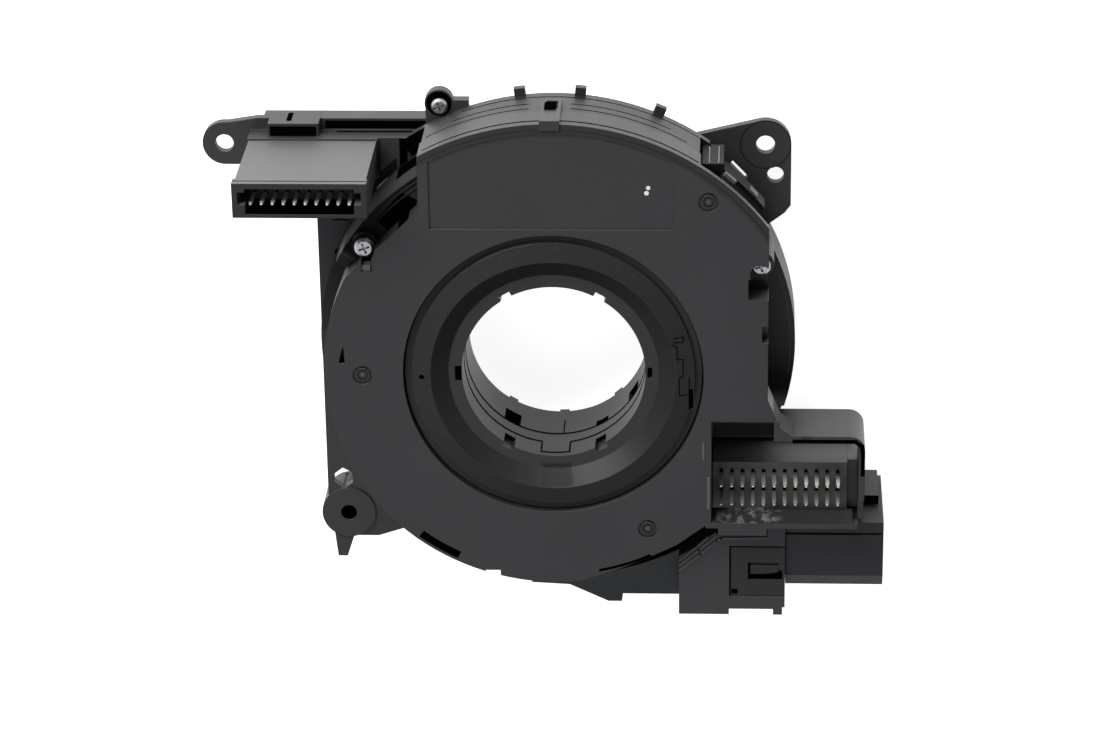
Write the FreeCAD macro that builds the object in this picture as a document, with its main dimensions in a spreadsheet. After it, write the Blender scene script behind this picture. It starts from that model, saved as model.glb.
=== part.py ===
import FreeCAD, Part
import Sketcher
import os
import re
from math import cos, pi, sin, sqrt

# Steering clock spring: a round spiral-cable cassette on a flat sensor carrier.
# Frame: origin on the bore axis at the rear rest plane, +Z out of the front face,
# +Y towards the long rounded top rim, +X towards the 24-way connector.

doc = FreeCAD.newDocument("clock_spring")

# Driving dimensions, millimetres and degrees

SIZES = {
    # levels above the rear rest plane
    "face_level": 34.0,
    "seam_level": 25.0,
    "rim_level": 13.0,
    "flange_level": 11.0,
    "tray_level": 9.4,
    "ear_level": 5.5,
    "lid_thick": 1.6,
    # walls and running gaps
    "plate_thick": 2.0,
    "wall": 1.8,
    "seat_gap": 0.2,
    "turn_gap": 0.5,
    # rotor
    "bore_radius": 21.7,
    "tube_wall": 3.0,
    "ring_wall": 1.15,
    "drum_wall": 2.5,
    "throat_width": 3.1,
    "cone_width": 4.1,
    "ring_width": 6.5,
    "step_width": 2.0,
    "ring_gap": 0.35,
    "throat_drop": 2.1,
    "crest_rise": 0.6,
    "ring_drop": 1.4,
    "ring_thick": 1.5,
    "skirt_drop": 9.7,
    "tab_drop": 4.2,
    "sleeve_drop": 14.6,
    "rear_drop": 27.7,
    "latch_width": 2.9,
    "latch_drop": 7.2,
    "tab_wall": 2.0,
    "tab_start": -99,
    "tab_sweep": 18,
    # round cassette
    "cable_room": 4.2,
    "cassette_wall": 1.4,
    "side_room": 13.2,
    "case_inset": 0.3,
    "flange_lip": 2.8,
    "dome_rise": 8.6,
    "shelf_rise": 3.4,
    "chord_cut": 3.0,
    "chord_angle": 133.6,
    "top_left": -30.7,
    "top_step": 34.6,
    "tower_wide": 4.8,
    "tower_foot": 40.0,
    "tower_head": 48.6,
    "tower_pitch": 1.8,
    "flat_side": 3.7,
    "foot_flat": 6.0,
    "foot_bow": 150,
    "notch_left": 29.7,
    "notch_mid": 33.3,
    "notch_right": 36.3,
    "notch_end": 38.9,
    "notch_deep": 2.9,
    "foot_inset": 1.5,
    "foot_angle": -56.6,
    "shelf_level": 28.0,
    "shelf_start": 118,
    "shelf_end": 153,
    "cable_turns": 3,
    "cable_points": 24,
    "cable_thick": 0.35,
    "cable_gap": 1.5,
    # small features of the cover and the case
    "vent_left": -17.0,
    "vent_right": -13.4,
    "vent_foot": -52.7,
    "vent_head": -51.1,
    "notch_foot": 8.7,
    "notch_head": 12.8,
    "strap_half": 2.35,
    "strap_out": 0.9,
    "strap_drop": 5.8,
    "stake_seat": 2.35,
    "stake_boss": 2.6,
    "screw_boss": 3.15,
    "sink": 0.5,
    "clip_angle": 239.7,
    "clip_width": 11.4,
    "clip_reach": 3.9,
    "lug_width": 2.6,
    "lug_reach": 1.8,
    # label recess
    "label_half": 28.2,
    "label_foot": 36.9,
    "label_margin": 2.4,
    "label_depth": 0.4,
    # left connector
    "left_shell_out": 3.05,
    "left_shell_length": 31.1,
    "left_shell_drop": 11.6,
    "left_shell_deep": 8.4,
    "left_shell_level": 42.0,
    "left_shell_seat": 12.0,
    "shell_wall": 0.9,
    "lip_width": 0.4,
    "lip_length": 3.4,
    "left_pin_rise": 2.6,
    "left_ways": 10,
    # right connector
    "header_in": 0.7,
    "header_drop": 26.7,
    "header_length": 32.5,
    "header_deep": 13.3,
    "header_level": 22.0,
    "row_drop": 5.35,
    "shroud_rise": 12.25,
    "shroud_fall": 10.7,
    "shroud_reach": 20.1,
    "shroud_wall": 1.4,
    "shroud_depth": 16.2,
    "shroud_corner": 3.6,
    "shoulder_wide": 3.0,
    "setback_high": 6.2,
    "lip_low": 1.8,
    "lip_high": 3.7,
    "lip_deep": 3.1,
    "shoulder_high": 9.4,
    "bridge_thick": 3.0,
    "right_ways": 12,
    "row_pitch": 4.8,
    "pin_pitch": 2.54,
    "pin_width": 0.9,
    "pin_depth": 0.64,
    "pin_reach": 7.6,
    # lower right electronics
    "block_left": 29.4,
    "block_right": 55.0,
    "block_foot": -65.0,
    "block_gap": 3.1,
    "block_level": 29.0,
    "wing_level": 16.0,
    "wing_left": -7.0,
    "wing_foot": -66.2,
    "curve_end": 38.2,
    "block_step": 50.7,
    "panel_left": 42.0,
    "panel_foot": -59.8,
    "panel_head": -46.9,
    "panel_thick": 0.8,
    "socket_right": 78.6,
    "socket_foot": -58.6,
    "socket_gap": 0.2,
    "socket_level": 27.0,
    "socket_bevel": 2.2,
    "riser_left": 73.7,
    "riser_level": 16.4,
    # mounting ears
    "ear_thick": 2.2,
    "ear_radius": 5.3,
    "ear_hole": 2.2,
    "left_ear_x": -79.1,
    "left_ear_y": 47.5,
    "right_ear_x": 49.6,
    "right_ear_y": 47.6,
    "right_ear_hole": 2.25,
    "right_peg_x": 52.0,
    "right_peg_y": 40.0,
    "right_peg_hole": 2.0,
    "bracket_right": 55.7,
    "boss_x": -52.1,
    "boss_y": -46.8,
    "boss_radius": 6.6,
    "boss_hole": 1.95,
    "bar_top": 53.9,
    "bar_left": -69.6,
    "top_ear_radius": 3.4,
    # fasteners
    "screw_head": 2.35,
    "screw_shank": 1.2,
    "stake_radius": 1.75,
    "left_screw_x": -43.8,
    "left_screw_y": 31.1,
    "right_screw_x": 48.6,
    "right_screw_y": 25.6,
    "ear_screw_out": 2.7,
    "ear_screw_angle": 114.5,
    "left_seat_drop": 3.9,
    "right_seat_drop": 7.4,
    "screw_head_thick": 1.7,
    "screw_length": 10.6,
    # angle sensor
    "gear_module": 1.2,
    "ring_rim": 5.3,
    "first_teeth": 16,
    "second_teeth": 18,
    "first_angle": -30.0,
    "second_angle": -72.0,
    "gear_level": 3.2,
    "gear_thick": 3.0,
    "mesh_slack": 0.16,
    "pivot_radius": 1.5,
    "pivot_gap": 0.05,
    "magnet_radius": 2.4,
    "magnet_thick": 0.8,
    "board_thick": 1.4,
    "chip_half": 1.6,
}

sheet = doc.addObject("Spreadsheet::Sheet", "Sizes")
for row, (alias, value) in enumerate(SIZES.items(), 1):
    sheet.set("A%d" % row, alias)
    sheet.set("B%d" % row, str(value))
    sheet.setAlias("B%d" % row, alias)
doc.recompute()

ALIAS = re.compile(r"\b(%s)\b" % "|".join(SIZES))


def formula(text):
    """An expression in the sheet's names, written for the document."""
    return ALIAS.sub(r"Sizes.\1", str(text))


def value_of(text):
    return float(sheet.evalExpression(formula(text)))


def bind(thing, **places):
    for place, text in places.items():
        thing.setExpression(place.replace("_at_", "."), formula(text))


def locate(thing, x, y, z, turn="0"):
    bind(thing, Placement_at_Base_at_x=x, Placement_at_Base_at_y=y, Placement_at_Base_at_z=z)
    bind(thing, Placement_at_Rotation_at_Angle=turn)
    return thing


# Solids bound to the sheet


def cylinder(name, x, y, z, radius, height):
    thing = doc.addObject("Part::Cylinder", name)
    bind(thing, Radius=radius, Height=height)
    return locate(thing, x, y, z)


def sector(name, radius, z, height, start, sweep):
    thing = doc.addObject("Part::Cylinder", name)
    bind(thing, Radius=radius, Height=height, Angle=sweep)
    return locate(thing, "0", "0", z, start)


def box(name, x, y, z, length, width, height):
    thing = doc.addObject("Part::Box", name)
    bind(thing, Length=length, Width=width, Height=height)
    return locate(thing, x, y, z)


def span(name, x, y, z):
    """A box between two corners, each axis given as a pair of expressions."""
    sizes = ["(%s) - (%s)" % (high, low) for low, high in (x, y, z)]
    return box(name, x[0], y[0], z[0], *sizes)


def spoke(name, angle, inner, outer, width, z, height):
    """A box along a radius, centred on the direction of the angle."""
    thing = doc.addObject("Part::Box", name)
    bind(thing, Length="(%s) - (%s)" % (outer, inner), Width=width, Height=height)
    x = "(%s) * cos(%s) + (%s) / 2 * sin(%s)" % (inner, angle, width, angle)
    y = "(%s) * sin(%s) - (%s) / 2 * cos(%s)" % (inner, angle, width, angle)
    return locate(thing, x, y, z, angle)


def spur(name, x, y, length, width, z, height, turn):
    """A box centred in plan on a point and turned about it."""
    thing = doc.addObject("Part::Box", name)
    bind(thing, Length=length, Width=width, Height=height)
    left = "(%s) - ((%s) * cos(%s) - (%s) * sin(%s)) / 2" % (x, length, turn, width, turn)
    foot = "(%s) - ((%s) * sin(%s) + (%s) * cos(%s)) / 2" % (y, length, turn, width, turn)
    return locate(thing, left, foot, z, turn)


def fuse(name, *shapes):
    thing = doc.addObject("Part::MultiFuse", name)
    thing.Shapes = list(shapes)
    thing.Refine = True
    return thing


def cut(name, base, *tools):
    thing = doc.addObject("Part::Cut", name)
    thing.Base = base
    thing.Tool = tools[0] if len(tools) == 1 else fuse(name + "Tools", *tools)
    thing.Refine = True
    return thing


def common(name, *shapes):
    thing = doc.addObject("Part::MultiCommon", name)
    thing.Shapes = list(shapes)
    return thing


def group(name, shapes):
    """Identical pieces that share one node as separate solids."""
    thing = doc.addObject("Part::Compound", name)
    thing.Links = list(shapes)
    return thing


def origin_plane(body, role):
    return next(item for item in body.Origin.OriginFeatures if item.Role == role)


def outline(body, name, role, corners, offset):
    """A closed sketch through the corners, going anticlockwise, each held by its distances.

    A corner is (x, y) or (x, y, radius): with a radius the edge that starts there is an arc,
    which bows outwards, or inwards where the radius is negative.
    """
    sketch = body.newObject("Sketcher::SketchObject", name)
    sketch.AttachmentSupport = [(origin_plane(body, role), "")]
    sketch.MapMode = "FlatFace"
    sketch.setExpression("AttachmentOffset.Base.z", formula(offset))
    spots = [FreeCAD.Vector(value_of(corner[0]), value_of(corner[1]), 0) for corner in corners]
    count = len(corners)
    arcs = {}
    for index, corner in enumerate(corners):
        start, end = spots[index], spots[(index + 1) % count]
        if len(corner) < 3:
            sketch.addGeometry(Part.LineSegment(start, end), False)
            continue
        bow = value_of(corner[2])
        chord = end - start
        rise = abs(bow) - sqrt(max(0, bow * bow - chord.Length ** 2 / 4))
        outward = FreeCAD.Vector(chord.y, -chord.x, 0).normalize()
        middle = (start + end) / 2 + outward * (rise if bow > 0 else -rise)
        arc = Part.Arc(start, middle, end) if bow > 0 else Part.Arc(end, middle, start)
        sketch.addGeometry(arc, False)
        arcs[index] = bow
    for index in range(count):
        after = (index + 1) % count
        tail = 1 if arcs.get(index, 1) < 0 else 2
        head = 2 if arcs.get(after, 1) < 0 else 1
        sketch.addConstraint(Sketcher.Constraint("Coincident", index, tail, after, head))
        for axis, kind in enumerate(("DistanceX", "DistanceY")):
            rule = Sketcher.Constraint(kind, -1, 1, after, head, spots[after][axis])
            number = sketch.addConstraint(rule)
            sketch.setExpression("Constraints[%d]" % number, formula(corners[after][axis]))
    for index, bow in arcs.items():
        number = sketch.addConstraint(Sketcher.Constraint("Radius", index, abs(bow)))
        sketch.setExpression("Constraints[%d]" % number, formula("abs(%s)" % corners[index][2]))
    return sketch


def padded(name, corners, z, height):
    """A flat piece: its outline in plan, raised from a level."""
    body = doc.addObject("PartDesign::Body", name)
    pad = body.newObject("PartDesign::Pad", name + "Pad")
    pad.Profile = outline(body, name + "Outline", "XY_Plane", corners, z)
    pad.setExpression("Length", formula(height))
    return body


def prism(name, corners, x, length):
    """A piece with one section all along X: its corners give Y and Z."""
    body = doc.addObject("PartDesign::Body", name)
    pad = body.newObject("PartDesign::Pad", name + "Pad")
    pad.Profile = outline(body, name + "Section", "YZ_Plane", corners, x)
    pad.setExpression("Length", formula(length))
    return body


def turned(name, corners):
    """A round piece: its half section as radius and level, turned about the bore axis."""
    body = doc.addObject("PartDesign::Body", name)
    turn = body.newObject("PartDesign::Revolution", name + "Turn")
    turn.Profile = outline(body, name + "Section", "XZ_Plane", corners, "0")
    turn.ReferenceAxis = (turn.Profile[0], ["V_Axis"])
    turn.Angle = 360
    return body


def shaped(name, shape):
    """A piece whose form only code can give."""
    thing = doc.addObject("Part::Feature", name)
    thing.Shape = shape
    return thing


NODES = {}


def node(name, thing):
    """Name a finished sub-part."""
    thing.Label = name
    NODES[name] = thing
    return thing


# Radii and places that follow from the driving dimensions, from the bore outwards

THROAT = "(bore_radius + throat_width)"
CREST = "(%s + cone_width)" % THROAT
HOLE = "(%s + ring_width)" % CREST
CASSETTE = "(%s + cable_room)" % HOLE
COVER = "(%s + cassette_wall + side_room)" % CASSETTE
FLANGE = "(%s + flange_lip)" % COVER
TOP = "(%s + dome_rise)" % COVER
TUBE = "(bore_radius + tube_wall)"
DRUM_BORE = "(%s + seat_gap)" % TUBE
DRUM = "(%s + drum_wall)" % DRUM_BORE
THROUGH = "(%s + turn_gap)" % DRUM
SIDE = "(%s - flat_side)" % COVER
HEADER_X = "(%s - header_in)" % COVER
HEADER_TOP = "(header_drop - %s)" % COVER
HEADER_FOOT = "(%s - header_deep)" % HEADER_TOP
MOUTH_LEFT = "(%s - header_length / 2)" % HEADER_X
SHROUD_TOP = "(%s + shroud_rise)" % HEADER_TOP
SHROUD_FOOT = "(%s - shroud_fall)" % HEADER_TOP
SHROUD_RIGHT = "(%s + shroud_reach)" % HEADER_X
NOTCH_HEAD = "(%s - 0.3)" % SHROUD_FOOT
NOTCH_FOOT = "(%s - notch_deep)" % NOTCH_HEAD
BLOCK_HEAD = "(%s - block_gap)" % HEADER_FOOT
BLOCK_CURVE = "(%s + 0.5)" % FLANGE
SOCKET_HEAD = "(%s - socket_gap)" % HEADER_FOOT
LEFT_X = "(-%s - left_shell_out)" % COVER
LEFT_FOOT = "(%s - left_shell_drop)" % COVER
LEFT_TOP = "(%s + left_shell_deep)" % LEFT_FOOT
UNDER_PLATE = "(face_level - plate_thick)"
EAR_REACH = "(%s + ear_screw_out)" % TOP
EAR_SCREW = (EAR_REACH + " * cos(ear_screw_angle)", EAR_REACH + " * sin(ear_screw_angle)")
SCREWS = [
    ("left_screw_x", "left_screw_y", "left_seat_drop"),
    ("right_screw_x", "right_screw_y", "right_seat_drop"),
]
STAKES = [("36.5", "43.9"), ("-45.0", "-0.1"), ("22.1", "-39.7")]
WING_FOOT = [("wing_left", "-63.3"), ("2.3", "-63.8"), ("11.8", "-68.3"), ("15.1", "-68.3"), ("15.4", "wing_foot")]


def circle_y(radius, x):
    """How high a circle about the bore stands at a distance to the side."""
    return "sqrt(%s * %s - %s * %s)" % (radius, radius, x, x)


def rim_corners(inset, chorded, stepped, foot=None):
    """The cassette in plan: a disc with a larger top sector, flat on the right.

    The cover loses its upper left side along a chord, where the case keeps a shelf. The walls
    step in at the upper right, where only the face plate keeps the larger radius.
    """
    near, far = "(%s - (%s))" % (COVER, inset), "(%s - (%s))" % (TOP, inset)
    right, left = "(%s - (%s))" % (SIDE, inset), "(top_left + (%s))" % inset
    lower = "(%s - (%s))" % (FLANGE, inset)
    step = "(top_step - (%s))" % inset
    if foot is None:
        foot = [("notch_right", NOTCH_HEAD), (right, NOTCH_HEAD)]
    corners = [("foot_flat", "-" + circle_y(near, "foot_flat"), "foot_bow")]
    corners.append(("(%s - foot_inset) * cos(foot_angle)" % near, "(%s - foot_inset) * sin(foot_angle)" % near))
    corners += foot
    if stepped:
        corners.append((right, circle_y(lower, right), lower))
        corners.append((step, circle_y(lower, step)))
        corners.append((step, circle_y(far, step), far))
    else:
        corners.append((right, circle_y(far, right), far))
    if chorded:
        reach = "(%s - chord_cut - (%s))" % (COVER, inset)
        half = circle_y(near, reach)
        corners.append((left, circle_y(far, left)))
        corners.append((left, "(%s - %s * cos(chord_angle)) / sin(chord_angle)" % (reach, left)))
        corners.append(("%s * cos(chord_angle) - %s * sin(chord_angle)" % (reach, half),
                        "%s * sin(chord_angle) + %s * cos(chord_angle)" % (reach, half), near))
    else:
        shelf = "(%s + shelf_rise - (%s))" % (COVER, inset)
        corners.append((left, circle_y(far, left)))
        corners.append((left, circle_y(shelf, left), shelf))
        corners.append(("%s * cos(shelf_end)" % shelf, "%s * sin(shelf_end)" % shelf))
        corners.append(("%s * cos(shelf_end)" % near, "%s * sin(shelf_end)" % near, near))
    return corners


# Front cover


def label_recess():
    face = cylinder("LabelArc", "0", "0", "face_level - label_depth", "%s - label_margin" % TOP, "label_depth * 2")
    sides = ("-label_half", "label_half")
    field = span("LabelField", sides, ("label_foot", TOP), ("face_level - 1", "face_level + 1"))
    return common("LabelRecess", face, field)


def shroud(name, inset, left, level, height):
    """The connector shroud in plan, drawn in from its outer face by the inset."""
    right, top = "%s - (%s)" % (SHROUD_RIGHT, inset), "%s - (%s)" % (SHROUD_TOP, inset)
    corner, foot = "shroud_corner - (%s)" % inset, "%s - shroud_wall + 0.1 + (%s)" % (SHROUD_FOOT, inset)
    return padded(name, [
        (left, foot), (right, foot), (right, "%s - (%s)" % (top, corner), corner),
        ("%s - (%s)" % (right, corner), top), (left, top),
    ], level, height)


def cover_plate():
    """The face plate, with the small tab and the bridge below the large connector."""
    foot = [
        ("notch_left", "%s - 1.7" % NOTCH_FOOT), ("notch_left", "%s + 0.2" % NOTCH_FOOT),
        ("notch_mid", NOTCH_HEAD), ("notch_end", NOTCH_HEAD), ("notch_end", NOTCH_FOOT), (SIDE, NOTCH_FOOT),
    ]
    return padded("CoverPlate", rim_corners("0", True, False, foot), UNDER_PLATE, "plate_thick")


def cover_shoulder():
    """The corner between the plate's right side and the shroud."""
    top = "%s + shoulder_high" % SHROUD_TOP
    return padded("CoverShoulder", [
        (MOUTH_LEFT, "%s - 1" % SHROUD_TOP), ("%s + shoulder_wide" % HEADER_X, "%s - 1" % SHROUD_TOP),
        ("%s + shoulder_wide" % HEADER_X, SHROUD_TOP), (HEADER_X, "%s + 2.2" % SHROUD_TOP),
        (SIDE, top), (MOUTH_LEFT, top),
    ], "seam_level", "face_level - seam_level")


def strap():
    """The tab at the top that reaches down over the case."""
    sides, front = ("-strap_half", "strap_half"), "%s + strap_out" % TOP
    root = span("StrapRoot", sides, ("%s - 1.6" % TOP, front), ("seam_level", "face_level + 0.3"))
    tongue = span("StrapTongue", sides, ("%s - 0.1" % TOP, front), ("seam_level - strap_drop", "seam_level + 1"))
    return [root, tongue]


def front_cover():
    height = "face_level - seam_level"
    wall = padded("CoverWall", rim_corners("0", True, True), "seam_level", height)
    side = MOUTH_LEFT + " - shroud_wall"
    parts = [cover_plate(), wall, cover_shoulder()] + strap()
    parts.append(shroud("CoverShroud", "0", side, "face_level - shroud_depth", "shroud_depth"))
    parts.append(cylinder("CoverStakeBoss", STAKES[0][0], STAKES[0][1], "seam_level", "stake_boss", height))
    for index, (x, y, drop) in enumerate(SCREWS, 1):
        deep = "%s - %s" % (height, drop)
        parts.append(cylinder("CoverBoss%d" % index, x, y, "seam_level", "screw_boss", deep))
    whole = fuse("CoverWhole", *parts)
    tools = [cylinder("CoverHole", "0", "0", "seam_level - 1", HOLE, "%s + 2" % height)]
    tools.append(cylinder("CoverRoom", "0", "0", "seam_level - 1", CASSETTE, "%s - seam_level + 1" % UNDER_PLATE))
    cell = "%s + cassette_wall + seat_gap" % CASSETTE
    tools.append(cylinder("CoverCell", "0", "0", "seam_level - shroud_depth", cell, "shroud_depth"))
    back = "face_level - shroud_depth - 1"
    tools.append(shroud("CoverMouth", "shroud_wall", MOUTH_LEFT, back, "shroud_depth + 2"))
    tools.append(span("UnderBridge", (MOUTH_LEFT, "%s - shroud_wall" % SHROUD_RIGHT),
                      ("%s - 6" % SHROUD_FOOT, "%s + 0.5" % SHROUD_FOOT), (back, "face_level - bridge_thick")))
    tools.append(span("ShroudSetback", ("%s - 1.5" % SHROUD_RIGHT, "%s + 1" % SHROUD_RIGHT),
                      ("%s - 3" % SHROUD_FOOT, "%s + setback_high" % SHROUD_FOOT), ("face_level - 6", "face_level + 1")))
    low, high = "%s - lip_low" % SHROUD_TOP, "%s + lip_high" % SHROUD_TOP
    tools.append(prism("MouthLip", [
        (low, "face_level - lip_deep"), (high, "face_level"), (high, "face_level + 2"), (low, "face_level + 2"),
    ], MOUTH_LEFT, "%s - 1.5 - %s" % (HEADER_X, MOUTH_LEFT)))
    tools.append(span("StrapWindow", ("-1.2", "1.5"), ("%s - 0.5" % TOP, "%s + 7" % TOP),
                      ("seam_level - 4.7", "seam_level + 0.7")))
    for index, (x, y, drop) in enumerate(SCREWS, 1):
        tools.append(cylinder("CoverSeat%d" % index, x, y, "face_level - %s" % drop, "screw_head + seat_gap", "12"))
        tools.append(cylinder("CoverClear%d" % index, x, y, "seam_level - 1", "screw_shank + seat_gap", "12"))
    tools.append(span("LeftTail", ("left_screw_x - 0.6", "left_screw_x + 1.8"),
                      ("left_screw_y - 5.0", "left_screw_y - 1.5"), ("face_level - 6", "face_level + 1")))
    tools.append(span("RightTail", ("right_screw_x - 2.8", "right_screw_x + 2"),
                      ("right_screw_y - 6.1", "right_screw_y - 1.0"), ("face_level - right_seat_drop", "face_level + 1")))
    tools.append(span("SideNotch", ("%s - 1.4" % SIDE, "%s + 1" % SIDE), ("notch_foot", "notch_head"),
                      ("face_level - 3", "face_level + 1")))
    tools.append(padded("SideMark", [("-50.0", "2.9"), ("-49.2", "2.9"), ("-49.3", "7.0")], "face_level - 0.6", "2"))
    tools.append(span("FootVent", ("vent_left", "vent_right"), ("vent_foot", "vent_head"),
                      ("seam_level - 1", "face_level + 1")))
    for index, (x, y) in enumerate(STAKES, 1):
        tools.append(cylinder("StakeSeat%d" % index, x, y, "face_level - sink", "stake_seat", "1"))
        tools.append(cylinder("StakeBore%d" % index, x, y, "seam_level - 1", "stake_radius + 0.05", "12"))
    tools.append(label_recess())
    return node("front_cover", cut("FrontCover", whole, *tools))


def cover_stakes():
    """Posts that stand in the case and were melted flat in the cover's seats."""
    pieces = []
    for index, (x, y) in enumerate(STAKES, 1):
        pieces.append(cylinder("Stake%d" % index, x, y, "seam_level - 3", "stake_radius", "face_level - seam_level + 2.9"))
    return node("cover_stakes", group("CoverStakes", pieces))


# Cassette case


def header_well(name, z, high):
    """The well behind the mouth of the large connector, clear of the cassette's own wall."""
    room = span(name + "Room", (MOUTH_LEFT + " - seat_gap", "%s + seat_gap" % SHROUD_RIGHT),
                ("%s - seat_gap" % HEADER_FOOT, "%s - shroud_wall" % SHROUD_TOP), (z, "(%s) + (%s)" % (z, high)))
    front = shroud(name + "Shroud", "-seat_gap", MOUTH_LEFT + " - shroud_wall - seat_gap",
                   "face_level - shroud_depth - seat_gap", "40")
    cell = cylinder(name + "Cell", "0", "0", "0", "%s + cassette_wall" % CASSETTE, "face_level")
    return cut(name, fuse(name + "Whole", room, front), cell)


def case_body():
    height = "seam_level - rim_level"
    parts = [padded("CaseWall", rim_corners("case_inset", False, True), "rim_level", height)]
    parts.append(sector("Shelf", "(%s + shelf_rise - case_inset)" % COVER, "seam_level - 1",
                        "shelf_level - seam_level + 1", "shelf_start", "shelf_end - shelf_start"))
    parts.append(cylinder("CaseStakeBoss", STAKES[0][0], STAKES[0][1], "rim_level", "stake_boss", height))
    under = "seam_level - seat_gap"
    parts.append(span("StrapNub", ("-1.0", "1.2"), ("%s - 1.8" % TOP, "%s + 0.5" % TOP),
                      ("seam_level - 4.1", under)))
    parts.append(span("TowerBase", ("top_step - 1", "top_step + tower_wide"), ("tower_foot", "tower_head"),
                      ("rim_level", under)))
    for index in range(3):
        rib = "top_step + 0.5 + tower_pitch * %d" % index
        parts.append(span("TowerRib%d" % (index + 1), (rib, rib + " + 0.7"), ("tower_foot", "tower_head + 1.6"),
                          ("rim_level", under)))
    parts.append(spoke("CaseClip", "clip_angle", "%s - 3" % COVER, "%s + clip_reach" % COVER, "clip_width",
                       "seam_level - 4", "4 - seat_gap"))
    for index, (x, y, drop) in enumerate(SCREWS, 1):
        parts.append(cylinder("CaseBoss%d" % index, x, y, "rim_level", "screw_boss", height))
    whole = fuse("CaseWhole", *parts)
    tools = [cylinder("CaseRoom", "0", "0", "rim_level + cassette_wall", CASSETTE, "40")]
    tools.append(cylinder("CaseHole", "0", "0", "rim_level - 1", THROUGH, "10"))
    tools.append(padded("CaseAbove", rim_corners("-seat_gap", True, True), "seam_level", "10"))
    tools.append(header_well("CaseHeader", "rim_level - 1", "20"))
    for index, (x, y) in enumerate(STAKES, 1):
        tools.append(cylinder("CaseStake%d" % index, x, y, "seam_level - 3", "stake_radius", "7"))
    for index, (x, y, drop) in enumerate(SCREWS, 1):
        tip = "face_level - %s + screw_head_thick - screw_length" % drop
        tools.append(cylinder("CasePilot%d" % index, x, y, tip, "screw_shank", "14"))
        tools.append(cylinder("CaseBossTop%d" % index, x, y, "seam_level", "screw_boss + seat_gap", "14"))
    tools.append(padded("ShelfSlot", [
        ("-31.0", "41.6"), ("-34.5", "43.4"), ("-40.2", "36.9"), ("-38.4", "33.4"), ("-36.4", "34.0"), ("-35.0", "37.4"),
    ], "rim_level + 2", "20"))
    return node("case_body", cut("CaseBody", whole, *tools))


def rear_cover():
    thick = "rim_level - flange_level"
    disc = cylinder("RearDisc", "0", "0", "flange_level", FLANGE, thick)
    dome = cylinder("RearDome", "0", "0", "flange_level", "%s - 0.4" % TOP, thick)
    head = span("RearHead", ("top_left - 4", "top_step + 1.9"), ("0", TOP), ("flange_level", "rim_level"))
    parts = [disc, common("RearTop", dome, head)]
    for index, angle in enumerate(("97.2", "84.3", "67.0"), 1):
        parts.append(spoke("RearLug%d" % index, angle, "%s - 2.8" % TOP, "%s + lug_reach" % TOP, "lug_width",
                           "flange_level", thick))
    hole = cylinder("RearHole", "0", "0", "flange_level - 1", THROUGH, "10")
    header = header_well("RearHeader", "flange_level - 1", "10")
    return node("rear_cover", cut("RearCover", fuse("RearWhole", *parts), hole, header))


# Spiral cable and its end carriers


def flat_cable():
    """The ribbon's winding as an even spiral of short flats, from the drum out to the case."""
    points = int(value_of("cable_points"))
    steps = points * int(value_of("cable_turns"))
    thick = value_of("cable_thick")
    inner = value_of("%s + cable_gap" % DRUM)
    growth = (value_of("%s - cable_gap - cable_thick" % CASSETTE) - inner) / steps
    low = value_of("rim_level + cassette_wall + 0.6")
    high = value_of("face_level - ring_drop - ring_thick - 0.6")

    def edge(offset):
        spots = []
        for index in range(steps + 1):
            radius = inner + offset + growth * index
            angle = 2 * pi * index / points
            spots.append(FreeCAD.Vector(radius * cos(angle), radius * sin(angle), low))
        return spots

    loop = edge(thick) + edge(0)[::-1]
    ribbon = Part.Face(Part.makePolygon(loop + loop[:1])).extrude(FreeCAD.Vector(0, 0, high - low))
    return node("flat_cable", shaped("FlatCable", ribbon))


def terminals():
    height = "face_level - rim_level - 8"
    inner = spoke("InnerBlock", "0", "%s - 0.5" % DRUM, "%s + 0.95" % DRUM, "5", "rim_level + 2.6", height)
    node("inner_terminal", cut("InnerTerminal", inner, cylinder("InnerSeat", "0", "0", "rim_level", DRUM, "30")))
    outer = spoke("OuterBlock", "0", "%s - 0.7" % CASSETTE, "%s + 0.5" % CASSETTE, "6", "rim_level + 2.6", height)
    node("outer_terminal", common("OuterTerminal", outer, cylinder("OuterSeat", "0", "0", "rim_level", CASSETTE, "30")))


# Rotor


LATCHES = ("60", "120", "240", "300")


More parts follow.
